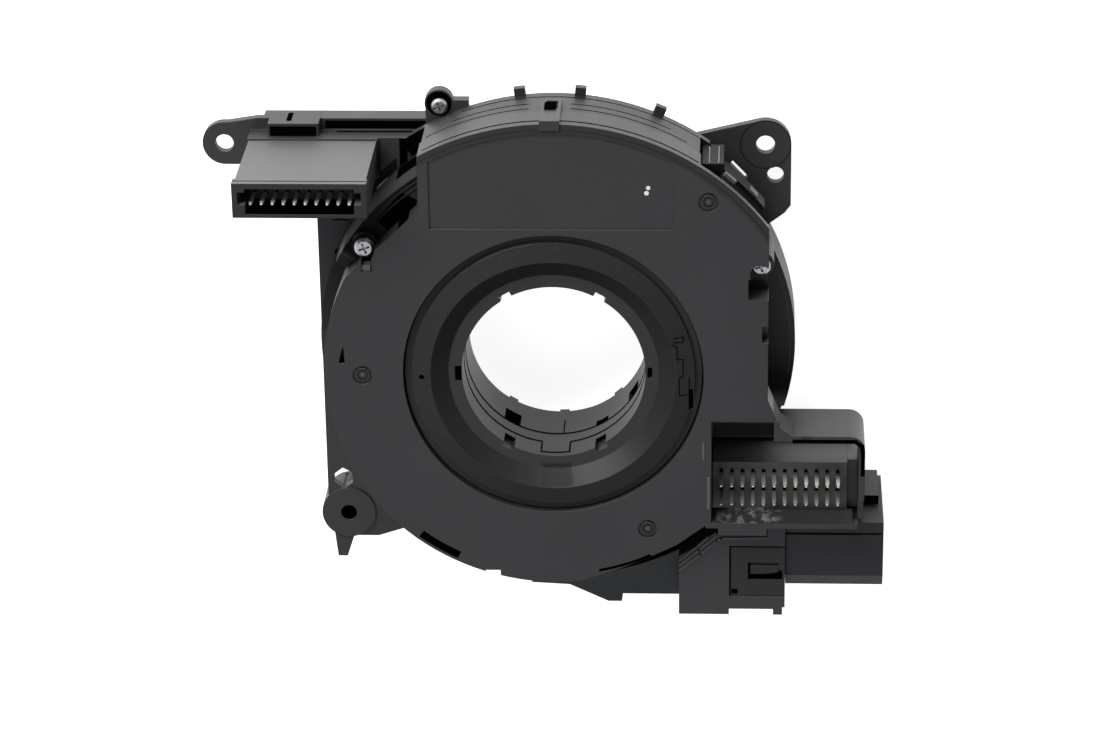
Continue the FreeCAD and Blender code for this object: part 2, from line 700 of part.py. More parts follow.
def rotor_flange():
    """The turning flange: its ring lies in the cover's hole, and its cone leads down to the bore."""
    section = [
        ("bore_radius", "face_level - skirt_drop"),
        (DRUM_BORE, "face_level - skirt_drop"),
        (DRUM_BORE, "rim_level + 0.4"),
        (DRUM, "rim_level + 0.4"),
        (DRUM, "face_level - ring_drop - ring_thick"),
        ("%s - ring_gap" % HOLE, "face_level - ring_drop - ring_thick"),
        ("%s - ring_gap" % HOLE, "face_level - ring_drop"),
        ("%s - step_width" % HOLE, "face_level - ring_drop"),
        ("%s - step_width" % HOLE, "face_level - 0.5"),
        (CREST, "face_level + crest_rise"),
        (THROAT, "face_level - throat_drop"),
        ("bore_radius", "face_level - throat_drop"),
    ]
    body = turned("FlangeBody", section)
    tools = [sector("SkirtSlot", "bore_radius + tab_wall + 0.1", "face_level - skirt_drop - 1",
                    "skirt_drop - tab_drop + 1", "tab_start", "tab_sweep")]
    for index, angle in enumerate(LATCHES, 1):
        tools.append(spoke("FlangeWindow%d" % index, angle, "bore_radius - 1", "bore_radius + 1.1", "latch_width",
                           "face_level - latch_drop", "latch_drop + 1"))
    for index, angle in enumerate(("0", "180"), 1):
        tools.append(spoke("FlangeSight%d" % index, angle, "bore_radius + 0.5", "bore_radius + 1.6", "2.6",
                           "face_level - 6", "7"))
    tools.append(cylinder("PinHole", "-31.0", "-0.6", "face_level - 3", "0.65", "5"))
    tools.append(spur("RingSlot", "32.4", "-6.0", "1.0", "5.4", "face_level - 3", "5", "0"))
    return node("rotor_flange", cut("RotorFlange", body, *tools))


def rotor_sleeve():
    """The middle tube, whose tab fills the slot in the flange's skirt."""
    top = "face_level - skirt_drop - 0.15"
    section = [
        ("bore_radius + ring_wall + 0.05", "gear_level"),
        (TUBE, "gear_level"),
        (TUBE, top),
        ("bore_radius", top),
        ("bore_radius", "face_level - sleeve_drop"),
        ("bore_radius + ring_wall + 0.05", "face_level - sleeve_drop"),
    ]
    tab = cut("SleeveTab",
              sector("SleeveTabOut", "bore_radius + tab_wall", "%s - 0.5" % top, "skirt_drop - tab_drop + 0.5",
                     "tab_start + 0.5", "tab_sweep - 1"),
              cylinder("SleeveTabIn", "0", "0", "0", "bore_radius", "face_level"))
    return node("rotor_sleeve", fuse("RotorSleeve", turned("SleeveBody", section), tab))


def rear_ring():
    """The rear tube of the bore, with latch windows and small tabs on its rear edge."""
    outside = "bore_radius + ring_wall"
    tube = cylinder("RingOut", "0", "0", "face_level - rear_drop", outside, "rear_drop - sleeve_drop - 0.15")
    tools = []
    windows = (("-120", "21", "4.4"), ("-60", "17.5", "3.4"), ("-32", "20.5", "4.4"))
    for index, (angle, low, width) in enumerate(windows, 1):
        tools.append(spoke("RingWindow%d" % index, angle, "bore_radius - 1", "bore_radius + 3", width,
                           "face_level - %s" % low, "8"))
    tools.append(spoke("RingSplit", "-86", "bore_radius - 1", "bore_radius + 3", "0.35", "face_level - 22.8", "9"))
    tabs = [sector("RingTab%d" % index, outside, "face_level - rear_drop - 1.5", "2.5", angle, "6")
            for index, angle in enumerate(("-124", "-90", "-52", "60", "150"), 1)]
    inside = cylinder("RingIn", "0", "0", "0", "bore_radius", "face_level")
    return node("rotor_rear_ring", cut("RearRing", fuse("RingWhole", tube, *tabs), inside, *tools))


# Angle sensor gears


def tooth_profile(teeth, module, slack):
    """Corner points of a gear rim: trapezoid teeth, narrowed by the slack."""
    pitch = teeth * module / 2
    root, tip = pitch - 1.15 * module, pitch + 0.85 * module
    quarter = pi / (2 * teeth)
    points = []
    for index in range(teeth):
        middle = 2 * pi * index / teeth
        for radius, share in ((root, -1.42), (tip, -0.46), (tip, 0.46), (root, 1.42)):
            angle = middle + share * quarter - (slack / 2 / radius if share > 0 else -slack / 2 / radius)
            points.append(FreeCAD.Vector(radius * cos(angle), radius * sin(angle), 0))
    return points


def toothed(name, teeth, bore, centre, phase):
    module, slack, thick = value_of("gear_module"), value_of("mesh_slack"), value_of("gear_thick")
    profile = tooth_profile(teeth, module, slack)
    disc = Part.Face(Part.makePolygon(profile + profile[:1])).extrude(FreeCAD.Vector(0, 0, thick))
    gear = shaped(name, disc.cut(Part.makeCylinder(value_of(bore), thick)))
    spot = FreeCAD.Vector(value_of(centre[0]), value_of(centre[1]), value_of("gear_level"))
    gear.Placement = FreeCAD.Placement(spot, FreeCAD.Rotation(FreeCAD.Vector(0, 0, 1), phase))
    return gear


RING_TEETH = round(value_of("2 * (%s + ring_rim) / gear_module" % TUBE))
PINIONS = [("first", "first_teeth", "first_angle"), ("second", "second_teeth", "second_angle")]


def pinion_spot(teeth, angle):
    reach = "(gear_module * (%d + %s) / 2)" % (RING_TEETH, teeth)
    return "%s * cos(%s)" % (reach, angle), "%s * sin(%s)" % (reach, angle)


def sensor_gears():
    node("drive_gear_ring", toothed("RingGear", RING_TEETH, "%s + seat_gap / 2" % TUBE, ("0", "0"), 0.0))
    for name, teeth, angle in PINIONS:
        spot = pinion_spot(teeth, angle)
        count, line = int(value_of(teeth)), value_of(angle)
        ring_phase = (line / 360.0 * RING_TEETH) % 1.0
        turn = line + 180.0 + 360.0 / count * (0.5 + ring_phase)
        node(name + "_pinion", toothed(name.title() + "Pinion", count, "pivot_radius + pivot_gap", spot, turn))
        magnet = cylinder(name.title() + "Magnet", spot[0], spot[1], "gear_level + gear_thick", "magnet_radius",
                          "magnet_thick")
        node(name + "_magnet", magnet)


# Sensor carrier with the mounting ears


def bracket_plate():
    return padded("BracketPlate", [
        ("31.7", "20"), ("44", "14"), ("50.6", "27.6"), ("bracket_right - 1.4", "30.4"), ("bracket_right", "32.3"),
        ("bracket_right", "right_ear_y", "bracket_right - right_ear_x"),
        ("right_ear_x - 1.6", "right_ear_y + 5.9"), ("31.7", "49.6"),
    ], "ear_level - ear_thick", "ear_thick")


def ear_plate():
    foot, head = "left_ear_y - ear_radius", "left_ear_y + ear_radius"
    return padded("EarPlate", [
        ("left_ear_x", foot), ("left_ear_x + 10", foot), ("left_ear_x + 10", "bar_top"),
        ("left_ear_x + 8", "bar_top"), ("left_ear_x + 1", head), ("left_ear_x", head, "ear_radius"),
        ("left_ear_x - ear_radius", "left_ear_y", "ear_radius"),
    ], "ear_level - ear_thick", "ear_thick")


def tray_outlines(name, inset, low, high):
    """The tray in plan, with its arm and the bay under the large connector."""
    height = "(%s) - (%s)" % (high, low)
    disc = cylinder(name + "Disc", "0", "0", low, "%s - (%s)" % (FLANGE, inset), height)
    arm = span(name + "Arm", ("%s - 15.5 + (%s)" % (LEFT_X, inset), "-28"),
               ("%s - 1.6 + (%s)" % (LEFT_FOOT, inset), "%s - (%s)" % (LEFT_TOP, inset)), (low, high))
    bay = span(name + "Bay", ("20", "%s + 17.9 - (%s)" % (HEADER_X, inset)),
               (HEADER_FOOT + " + (%s)" % inset, "%s + 1.1 - (%s)" % (HEADER_TOP, inset)), (low, high))
    return [disc, arm, bay]


def left_flange():
    """The thin side plate with the six-sided hole, its foot and the boss."""
    low = "flange_level - 2.4"
    plate = padded("TrayLeft", [
        ("-57.1", "-50.1"), ("-50.1", "-53.3"), ("-45.0", "-53.3"), ("-38.0", "-51.0"), ("-35.8", "-53.7"),
        ("-30", "-46"), ("-30", "44"), ("-57.0", "31.3"),
    ], low, "2.4")
    foot = padded("TrayFoot", [
        ("-56.2", "-49.5"), ("-55.2", "-59.0"), ("-52.9", "-59.0"), ("-50.6", "-52.0"), ("-51.5", "-48.5"),
    ], "flange_level - 5", "5")
    boss = cylinder("Boss", "boss_x", "boss_y", "lid_thick", "boss_radius", "flange_level - lid_thick + 0.6")
    return [plate, foot, boss]


def carrier():
    disc, arm, bay = tray_outlines("Tray", "0", "lid_thick", "flange_level")
    seat = span("ShellSeat", ("%s - 15.5" % LEFT_X, "%s + 15.5" % LEFT_X), ("%s - 1.6" % LEFT_FOOT, LEFT_TOP),
                ("lid_thick", "left_shell_seat"))
    bar = span("Bar", ("bar_left", "-28"), (LEFT_TOP, "bar_top"), ("0", "ear_level"))
    clip = span("BarClip", ("bar_left + 1.6", "bar_left + 13.6"), ("%s - 0.6" % LEFT_TOP, "bar_top + seat_gap"),
                ("lid_thick", "10"))
    top_ear = cylinder("TopEar", EAR_SCREW[0], EAR_SCREW[1], "flange_level - 3", "top_ear_radius", "3")
    top_web = span("TopWeb", ("%s - 3.2" % EAR_SCREW[0], "%s + 7" % EAR_SCREW[0]), ("44", "%s + 0.8" % EAR_SCREW[1]),
                   ("flange_level - 3", "flange_level"))
    whole = fuse("TrayWhole", disc, arm, bay, seat, bar, clip, ear_plate(), top_ear, top_web, bracket_plate(),
                 *left_flange())
    tools = tray_outlines("Room", "wall", "0", "tray_level")
    tools.append(span("ShellHole", ("%s - 13.4" % LEFT_X, "%s + 13.5" % LEFT_X),
                      ("%s + 1.2" % LEFT_FOOT, "%s - wall" % LEFT_TOP), ("tray_level - 1", "20")))
    tools.append(cylinder("TrayHole", "0", "0", "0", THROUGH, "40"))
    tools.append(header_well("TrayHeader", "tray_level", "20"))
    tools.append(padded("HexHole", [
        ("-53.2", "-40.7"), ("-50.9", "-38.9"), ("-51.1", "-36.2"),
        ("-53.3", "-35.0"), ("-55.6", "-36.8"), ("-55.6", "-38.8"),
    ], "lid_thick + 1", "20"))
    tools.append(spur("BracketSlot", "43.3", "41.2", "5.4", "1.1", "0", "20", "-47"))
    for name, x, y, radius in (
            ("EarHole", "left_ear_x", "left_ear_y", "ear_hole"),
            ("BracketHole", "right_ear_x", "right_ear_y", "right_ear_hole"),
            ("BracketPeg", "right_peg_x", "right_peg_y", "right_peg_hole"),
            ("BossHole", "boss_x", "boss_y", "boss_hole"),
            ("TopEarHole", EAR_SCREW[0], EAR_SCREW[1], "screw_shank")):
        tools.append(cylinder(name, x, y, "0", radius, "20"))
    return node("sensor_carrier", cut("Carrier", whole, *tools))


def left_connector(pins):
    """The tall shell: a lip round its mouth, and a key slot in each side wall."""
    left, right = "(%s - left_shell_length / 2)" % LEFT_X, "(%s + left_shell_length / 2)" % LEFT_X
    foot, top = LEFT_FOOT, LEFT_TOP
    body = span("ShellBody", ("%s + lip_width" % left, "%s - lip_width" % right), (foot, "%s - lip_width" % top),
                ("left_shell_seat", "left_shell_level"))
    lip = span("ShellLip", (left, right), (foot, top), ("left_shell_level - lip_length", "left_shell_level"))
    inside = ("%s + shell_wall" % foot, "%s - lip_width - shell_wall" % top)
    narrow = ("%s + 3.0" % left, "%s - 2.9" % right)
    mouth = span("ShellMouth", narrow, inside, ("left_shell_level - 9.6", "left_shell_level + 1"))
    slots = span("ShellSlots", ("%s + lip_width + shell_wall" % left, "%s - lip_width - shell_wall" % right),
                 ("%s + 3.2" % foot, "%s - 2.2" % top), ("left_shell_level - 9.6", "left_shell_level + 1"))
    back = span("ShellBack", narrow, inside, ("left_shell_seat - 1", "left_shell_level - 11.6"))
    node("left_connector_shell", cut("ShellHollow", fuse("ShellWhole", body, lip), mouth, slots, back, pins))


def left_pins():
    pieces = []
    for index in range(int(value_of("left_ways"))):
        x = "%s - 0.15 + pin_pitch * (%s)" % (LEFT_X, index - 4.5)
        y = "%s + left_pin_rise" % LEFT_FOOT
        pieces.append(blade("LeftPin%d" % (index + 1), x, y, "tray_level", "left_shell_level - 2.0"))
    pins = group("LeftPins", pieces)
    node("left_connector_pins", pins)
    return pins


def blade(name, x, y, low, high):
    """A flat contact pin with a tapered tip."""
    shank = box(name + "Shank", "(%s) - pin_width / 2" % x, "(%s) - pin_depth / 2" % y, low,
                "pin_width", "pin_depth", "(%s) - (%s) - 1.0" % (high, low))
    tip = doc.addObject("Part::Wedge", name + "Tip")
    bind(tip, Xmin="-pin_width / 2", Xmax="pin_width / 2", Zmin="-pin_depth / 2", Zmax="pin_depth / 2")
    bind(tip, X2min="-pin_width / 4", X2max="pin_width / 4", Z2min="-pin_depth / 4", Z2max="pin_depth / 4")
    bind(tip, Ymin="0", Ymax="1.0")
    bind(tip, Placement_at_Base_at_x=x, Placement_at_Base_at_y=y, Placement_at_Base_at_z="(%s) - 1.0" % high)
    tip.Placement.Rotation = FreeCAD.Rotation(FreeCAD.Vector(1, 0, 0), 90)
    return fuse(name, shank, tip)


def right_pins():
    pieces = []
    for row in (-0.5, 0.5):
        for index in range(int(value_of("right_ways"))):
            x = "%s + pin_pitch * (%s)" % (HEADER_X, index - 5.5)
            y = "%s - row_drop + row_pitch * (%s)" % (HEADER_TOP, row)
            name = "RightPin%s%d" % ("Low" if row < 0 else "High", index + 1)
            pieces.append(blade(name, x, y, "tray_level", "header_level + pin_reach"))
    pins = group("RightPins", pieces)
    node("right_connector_pins", pins)
    return pins


def right_header(pins):
    ends = ("%s - header_length / 2 + seat_gap" % HEADER_X, "%s + header_length / 2" % HEADER_X)
    block = span("HeaderBlock", ends, (HEADER_FOOT, HEADER_TOP), ("tray_level", "header_level"))
    node("right_header", cut("RightHeader", block, pins))


def electronics_housing():
    """The low wing and the tall block, cut round to clear the cassette."""
    low = "lid_thick"
    block = padded("BlockBody", [
        ("block_left", "block_foot"), ("41.5", "block_foot"), ("41.5", "block_foot + 1.5"), ("52.2", "block_foot + 1.5"),
        ("52.2", "block_foot"), ("54.4", "block_foot"), ("54.4", "block_foot + 2"), ("block_right", "block_foot + 2"),
        ("block_right", SOCKET_HEAD), ("block_step", SOCKET_HEAD), ("block_step", BLOCK_HEAD),
        ("curve_end + 0.9", BLOCK_HEAD), ("curve_end", "-" + circle_y(BLOCK_CURVE, "curve_end"), "-" + BLOCK_CURVE),
        ("block_left", "-" + circle_y(BLOCK_CURVE, "block_left")),
    ], low, "block_level - lid_thick")
    wing = padded("WingBody", WING_FOOT + [
        ("block_left + 0.1", "wing_foot"), ("block_left + 0.1", "-49"), ("wing_left", "-56"),
    ], low, "wing_level - lid_thick")
    step = cylinder("WingStep", "0", "0", "ear_level", "%s + 4.3" % FLANGE, "40")
    whole = fuse("BlockWhole", block, cut("WingStepped", wing, step))
    clear = cylinder("BlockClear", "0", "0", "0", "%s + seat_gap" % FLANGE, "40")
    bay = span("BlockBay", ("block_left + wall", "block_right - wall"), ("block_foot + 3.4", "%s - 8" % BLOCK_HEAD),
               ("0", "block_level - wall - panel_thick"))
    panel = span("PanelRecess", ("panel_left - 0.2", "block_right + 1"), ("panel_foot - 0.2", "panel_head + 0.2"),
                 ("block_level - panel_thick", "block_level + 1"))
    return node("electronics_housing", cut("ElectronicsHousing", whole, clear, bay, panel))


def latch_cover():
    level = "block_level - panel_thick"
    plate = span("LatchPlate", ("panel_left", "block_right"), ("panel_foot", "panel_head"), (level, "block_level"))
    window = span("LatchWindow", ("panel_left + 4.1", "block_right - 0.7"), ("panel_foot + 4.4", "panel_head - 4.1"),
                  ("block_level - 2", "block_level + 1"))
    tongue = span("LatchTongue", ("panel_left + 3", "block_right - 1.6"), ("panel_foot + 5.6", "panel_head - 4.9"),
                  (level, "block_level - 0.3"))
    return node("block_latch_cover", fuse("LatchCover", cut("LatchSheet", plate, window), tongue))


def stalk_socket():
    """The box at the far right: bevelled along its foot, with a lip and a riser on its top."""
    length = "socket_right - block_right - seat_gap / 2"
    body = prism("SocketBody", [
        ("socket_foot", "lid_thick"), (SOCKET_HEAD, "lid_thick"), (SOCKET_HEAD, "socket_level"),
        ("socket_foot + 3.4", "socket_level"), ("socket_foot", "socket_level - socket_bevel"),
    ], "block_right + seat_gap / 2", length)
    riser = span("SocketRiser", ("riser_left", "socket_right - 1.0"),
                 ("%s - 1" % SOCKET_HEAD, "%s + 2.2" % SOCKET_HEAD), ("lid_thick", "riser_level"))
    groove = span("SocketGroove", ("block_right", "socket_right + 1"),
                  ("%s - 3.3" % SOCKET_HEAD, "%s - 2.8" % SOCKET_HEAD), ("socket_level - 0.6", "socket_level + 1"))
    bay = span("SocketBay", ("block_right + wall", "socket_right - wall"),
               ("socket_foot + wall", "%s - wall" % SOCKET_HEAD),
               ("0", "socket_level - wall - socket_bevel"))
    return node("stalk_socket", cut("StalkSocket", fuse("SocketWhole", body, riser), groove, bay))


# Board and rear lid


def circuit_board():
    outlines = tray_outlines("Board", "wall + seat_gap", "tray_level - board_thick", "tray_level")
    hole = cylinder("BoardHole", "0", "0", "0", THROUGH, "40")
    node("circuit_board", cut("CircuitBoard", fuse("BoardWhole", *outlines), hole))
    under = "tray_level - board_thick"
    chips = []
    for name, teeth, angle in PINIONS:
        x, y = pinion_spot(teeth, angle)
        sides = [("%s - chip_half" % spot, "%s + chip_half" % spot) for spot in (x, y)]
        chips.append(span("HallChip" + name.title(), sides[0], sides[1], ("%s - 0.8" % under, under)))
    node("angle_chips", group("AngleChips", chips))
    node("control_chip", span("ControlChip", ("-46", "-37"), ("-10", "-1"), ("%s - 1.3" % under, under)))


def rear_lid():
    """The lid under the tray and the electronics, with the two pivots that carry the pinions."""
    disc, arm, bay = tray_outlines("Lid", "0", "0", "lid_thick")
    block = padded("LidBlock", WING_FOOT + [
        ("block_left", "wing_foot"), ("block_left", "block_foot"), ("54.4", "block_foot"), ("54.4", "socket_foot"), ("socket_right", "socket_foot"),
        ("socket_right", SOCKET_HEAD), ("wing_left", SOCKET_HEAD),
    ], "0", "lid_thick")
    hole = cylinder("LidHole", "0", "0", "-1", "%s + 0.6" % TUBE, "10")
    parts = [cut("LidPlate", fuse("LidWhole", disc, arm, bay, block), hole)]
    for name, teeth, angle in PINIONS:
        x, y = pinion_spot(teeth, angle)
        low, rise = "lid_thick - sink", "gear_level - lid_thick + sink"
        parts.append(cylinder("LidPivot" + name.title(), x, y, low, "pivot_radius", rise + " + 1.6"))
        parts.append(cylinder("LidCollar" + name.title(), x, y, low, "pivot_radius + 1.2", rise + " - pivot_gap"))
    return node("rear_lid", fuse("RearLid", *parts))


# Fasteners


def screw(name, x, y, head_level, length):
    thick = "screw_head_thick"
    head = cylinder(name + "Head", x, y, "(%s) - %s" % (head_level, thick), "screw_head", thick)
    shank = cylinder(name + "Shank", x, y, "(%s) - (%s)" % (head_level, length), "screw_shank",
                     "%s - %s" % (length, thick))
    return fuse(name, head, shank)


def case_screws():
    pieces = [screw("CaseScrew%d" % index, x, y, "face_level - %s + screw_head_thick" % drop, "screw_length")
              for index, (x, y, drop) in enumerate(SCREWS, 1)]
    node("case_screws", group("CaseScrews", pieces))
    node("ear_screw", screw("EarScrew", EAR_SCREW[0], EAR_SCREW[1], "flange_level + screw_head_thick", "7"))


front_cover()
cover_stakes()
case_body()
rear_cover()
flat_cable()
terminals()
rotor_flange()
rotor_sleeve()
rear_ring()
sensor_gears()
carrier()
left_connector(left_pins())
right_header(right_pins())
circuit_board()
electronics_housing()
latch_cover()
stalk_socket()
rear_lid()
case_screws()

doc.recompute()

faults = [item.Label for item in doc.Objects if {"Invalid", "Error"} & set(item.State)]
for name, thing in NODES.items():
    if thing.Shape.isNull() or not thing.Shape.isValid():
        faults.append(name)
if faults:
    raise SystemExit("failed: " + ", ".join(faults))

os.makedirs("parts", exist_ok=True)
for name, thing in NODES.items():
    thing.Shape.exportStep("parts/%s.step" % name)
    box_size = thing.Shape.BoundBox
    print("%-24s solids %2d volume %9.1f  x %.1f %.1f y %.1f %.1f z %.1f %.1f" % (
        name, len(thing.Shape.Solids), thing.Shape.Volume, box_size.XMin, box_size.XMax,
        box_size.YMin, box_size.YMax, box_size.ZMin, box_size.ZMax))
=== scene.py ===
import functools
import math

import bmesh
import bpy
from mathutils import Matrix, Vector


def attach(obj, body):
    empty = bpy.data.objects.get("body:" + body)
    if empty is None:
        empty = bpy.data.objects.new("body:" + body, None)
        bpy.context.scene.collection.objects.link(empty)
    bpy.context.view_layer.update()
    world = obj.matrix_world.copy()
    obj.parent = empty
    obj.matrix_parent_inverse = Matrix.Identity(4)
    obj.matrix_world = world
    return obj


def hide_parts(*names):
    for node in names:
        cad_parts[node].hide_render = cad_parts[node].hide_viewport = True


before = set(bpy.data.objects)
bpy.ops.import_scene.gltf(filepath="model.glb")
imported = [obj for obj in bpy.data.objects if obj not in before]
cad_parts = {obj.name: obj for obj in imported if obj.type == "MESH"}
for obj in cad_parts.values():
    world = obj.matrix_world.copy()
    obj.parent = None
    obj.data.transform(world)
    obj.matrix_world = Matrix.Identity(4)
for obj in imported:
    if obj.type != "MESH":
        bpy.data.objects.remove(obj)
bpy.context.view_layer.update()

MM = 0.001

# Heights of the surfaces that small pieces lie on, in millimetres

FACE = 34.0
LABEL = 33.6
SOCKET_FLOOR = 32.4
BLOCK_TOP = 29.0
SHELF_TOP = 28.0
RISER_TOP = 16.4
DISC_TOP = 13.0
TRAY_TOP = 11.0
CLIP_TOP = 10.0
BAR_TOP = 5.5

# Places in plan and the pitch of the pins, in millimetres

EJECTOR_MARKS = [(9.6, 31.0), (20.6, 23.8), (-27.2, -16.4), (22.8, -21.6)]
STAKES = [(36.5, 43.9), (-45.0, -0.1), (22.1, -39.7)]
PIN_PITCH = 2.54


# Camera, light and floor


def place_camera():
    """The photograph's view: steeply down on the face, from a little above the rounded rim."""
    data = bpy.data.cameras.new("Camera")
    data.sensor_width = 36.0
    data.lens = 124.05
    data.clip_start = 0.05
    data.clip_end = 20.0
    camera = bpy.data.objects.new("Camera", data)
    place = Vector((0.04667, 0.36018, 0.85747))
    right = Vector((0.9987, -0.0145, -0.0497)).normalized()
    back = Vector((0.05136, 0.39879, 0.91560)).normalized()
    up = back.cross(right).normalized()
    right = up.cross(back).normalized()
    turn = Matrix((right, up, back)).transposed().to_4x4()
    camera.matrix_world = Matrix.Translation(place) @ turn
    bpy.context.scene.collection.objects.link(camera)
    bpy.context.scene.camera = camera


def area_light(name, place, size, power, colour):
    """A rectangular light that faces the middle of the object."""
    data = bpy.data.lights.new(name, "AREA")
    data.shape = "RECTANGLE"
    data.size, data.size_y = size
    data.energy = power
    data.color = colour
    light = bpy.data.objects.new(name, data)
    middle = Vector((0, 0, 0.02))
    aim = (middle - Vector(place)).to_track_quat("-Z", "Y")
    light.matrix_world = Matrix.Translation(Vector(place)) @ aim.to_matrix().to_4x4()
    bpy.context.scene.collection.objects.link(light)


def studio():
    """A dim cool room, with a low key light beyond the rim and a soft fill above the near side."""
    world = bpy.data.worlds.new("Studio")
    world.use_nodes = True
    backdrop = world.node_tree.nodes["Background"]
    backdrop.inputs["Color"].default_value = (0.95, 0.97, 1.0, 1)
    backdrop.inputs["Strength"].default_value = 0.14
    bpy.context.scene.world = world
    area_light("KeyFromRim", (-0.40, 0.72, 0.45), (0.7, 0.4), 14.0, (1.0, 0.99, 0.97))
    area_light("FillFront", (-0.10, -0.55, 1.10), (1.0, 0.7), 3.3, (0.88, 0.92, 1.0))
    bpy.context.scene.view_settings.view_transform = "Standard"


def floor_sheet():
    """White paper that glows a little, so that it stays white under the dim light."""
    mesh = bpy.data.meshes.new("Floor")
    reach = 4.0
    corners = [(-reach, -reach, 0), (reach, -reach, 0), (reach, reach, 0), (-reach, reach, 0)]
    mesh.from_pydata(corners, [], [(0, 1, 2, 3)])
    floor = bpy.data.objects.new("Floor", mesh)
    bpy.context.scene.collection.objects.link(floor)
    paint = bpy.data.materials.new("FloorPaper")
    paint.use_nodes = True
    shader = paint.node_tree.nodes["Principled BSDF"]
    shader.inputs["Base Color"].default_value = (0.90, 0.90, 0.91, 1)
    shader.inputs["Roughness"].default_value = 0.9
    shader.inputs["Emission Color"].default_value = (1.0, 1.0, 1.0, 1)
    shader.inputs["Emission Strength"].default_value = 0.88
    mesh.materials.append(paint)


# Node trees written as Python


class Term:
    """A socket that can be used in a Python expression."""

    def __init__(self, paint, socket):
        self.paint = paint
        self.socket = socket

    def _math(self, operation, *terms):
        return self.paint.add("ShaderNodeMath", {"operation": operation}, *terms)

    def __add__(self, other):
        return self._math("ADD", self, other)

    __radd__ = __add__

    def __mul__(self, other):
        return self._math("MULTIPLY", self, other)

    def __sub__(self, other):
        return self._math("SUBTRACT", self, other)

    def __rsub__(self, other):
        return self._math("SUBTRACT", other, self)

    def __truediv__(self, other):
        return self._math("DIVIDE", self, other)

    def __pow__(self, other):
        return self._math("POWER", self, other)

    def bearing(self, along):
        """Angle in degrees of a place whose Y is this term and whose X is the other."""
        return self._math("ARCTAN2", self, along) * math.degrees(1.0)

    def clamp(self, low=0.0, high=1.0):
        return self._math("MINIMUM", self._math("MAXIMUM", self, low), high)


class Nodes:
    """A node tree whose nodes are all made by one method."""

    def __init__(self, tree):
        self.tree = tree

    def add(self, kind, settings, *values, out=0, **named):
        """A node with its settings, its inputs by place or by name, and one of its outputs as a term."""
        node = self.tree.nodes.new(kind)
        for key, value in settings.items():
            if key == "stops":
                self._ramp(node, value)
            else:
                setattr(node, key, value)
        for place, value in enumerate(values):
            self._join(node.inputs[place], value)
        for label, value in named.items():
            self._join(node.inputs[label.replace("_", " ")], value)
        return Term(self, node.outputs[out])

    def _ramp(self, node, stops):
        ramp = node.color_ramp
        while len(ramp.elements) < len(stops):
            ramp.elements.new(1.0)
        for element, (spot, tone) in zip(ramp.elements, stops):
            element.position = spot
            element.color = (tone, tone, tone, 1)

    def _join(self, socket, value):
        if isinstance(value, Term):
            self.tree.links.new(value.socket, socket)
        elif isinstance(value, list):
            for term in value:
                self.tree.links.new(term.socket, socket)
        elif value is not None:
            socket.default_value = value


class Paint(Nodes):
    """A material on the piece's own coordinates."""

    def __init__(self, name):
        self.material = bpy.data.materials.new(name)
        self.material.use_nodes = True
        super().__init__(self.material.node_tree)
        self.shader = self.tree.nodes["Principled BSDF"]
        self.place = self.add("ShaderNodeTexCoord", {}, out="Object")

    @functools.cached_property
    def axes(self):
        """Place on the piece along X, Y and Z, in millimetres."""
        return [self.add("ShaderNodeSeparateXYZ", {}, self.place, out=axis) * 1000.0 for axis in "XYZ"]

    def noise(self, scale, detail=2.0, rough=0.5):
        sizes = {"Scale": scale, "Detail": detail, "Roughness": rough}
        return self.add("ShaderNodeTexNoise", {}, Vector=self.place, **sizes)

    def specks(self, noise, start, full):
        """0 below one level of a noise and 1 above another."""
        return self.add("ShaderNodeValToRGB", {"stops": [(0.0, 0.0), (start, 0.0), (full, 1.0)]}, noise)

    def soft_normal(self, radius):
        """The surface's normal, rounded at its edges."""
        return self.add("ShaderNodeBevel", {"samples": 4}, Radius=radius)

    def blend(self, factor, first, second):
        node = self.tree.nodes.new("ShaderNodeMix")
        node.data_type = "RGBA"
        for socket, value in zip((node.inputs[0], node.inputs[6], node.inputs[7]), (factor, first, second)):
            self._join(socket, value)
        return Term(self, node.outputs[2])

    def bump(self, height, depth, strength, normal=None):
        return self.add("ShaderNodeBump", {}, Height=height, Distance=depth, Strength=strength, Normal=normal)

    def finish(self, **sockets):
        for name, value in sockets.items():
            self._join(self.shader.inputs[name.replace("_", " ")], value)
        return self.material


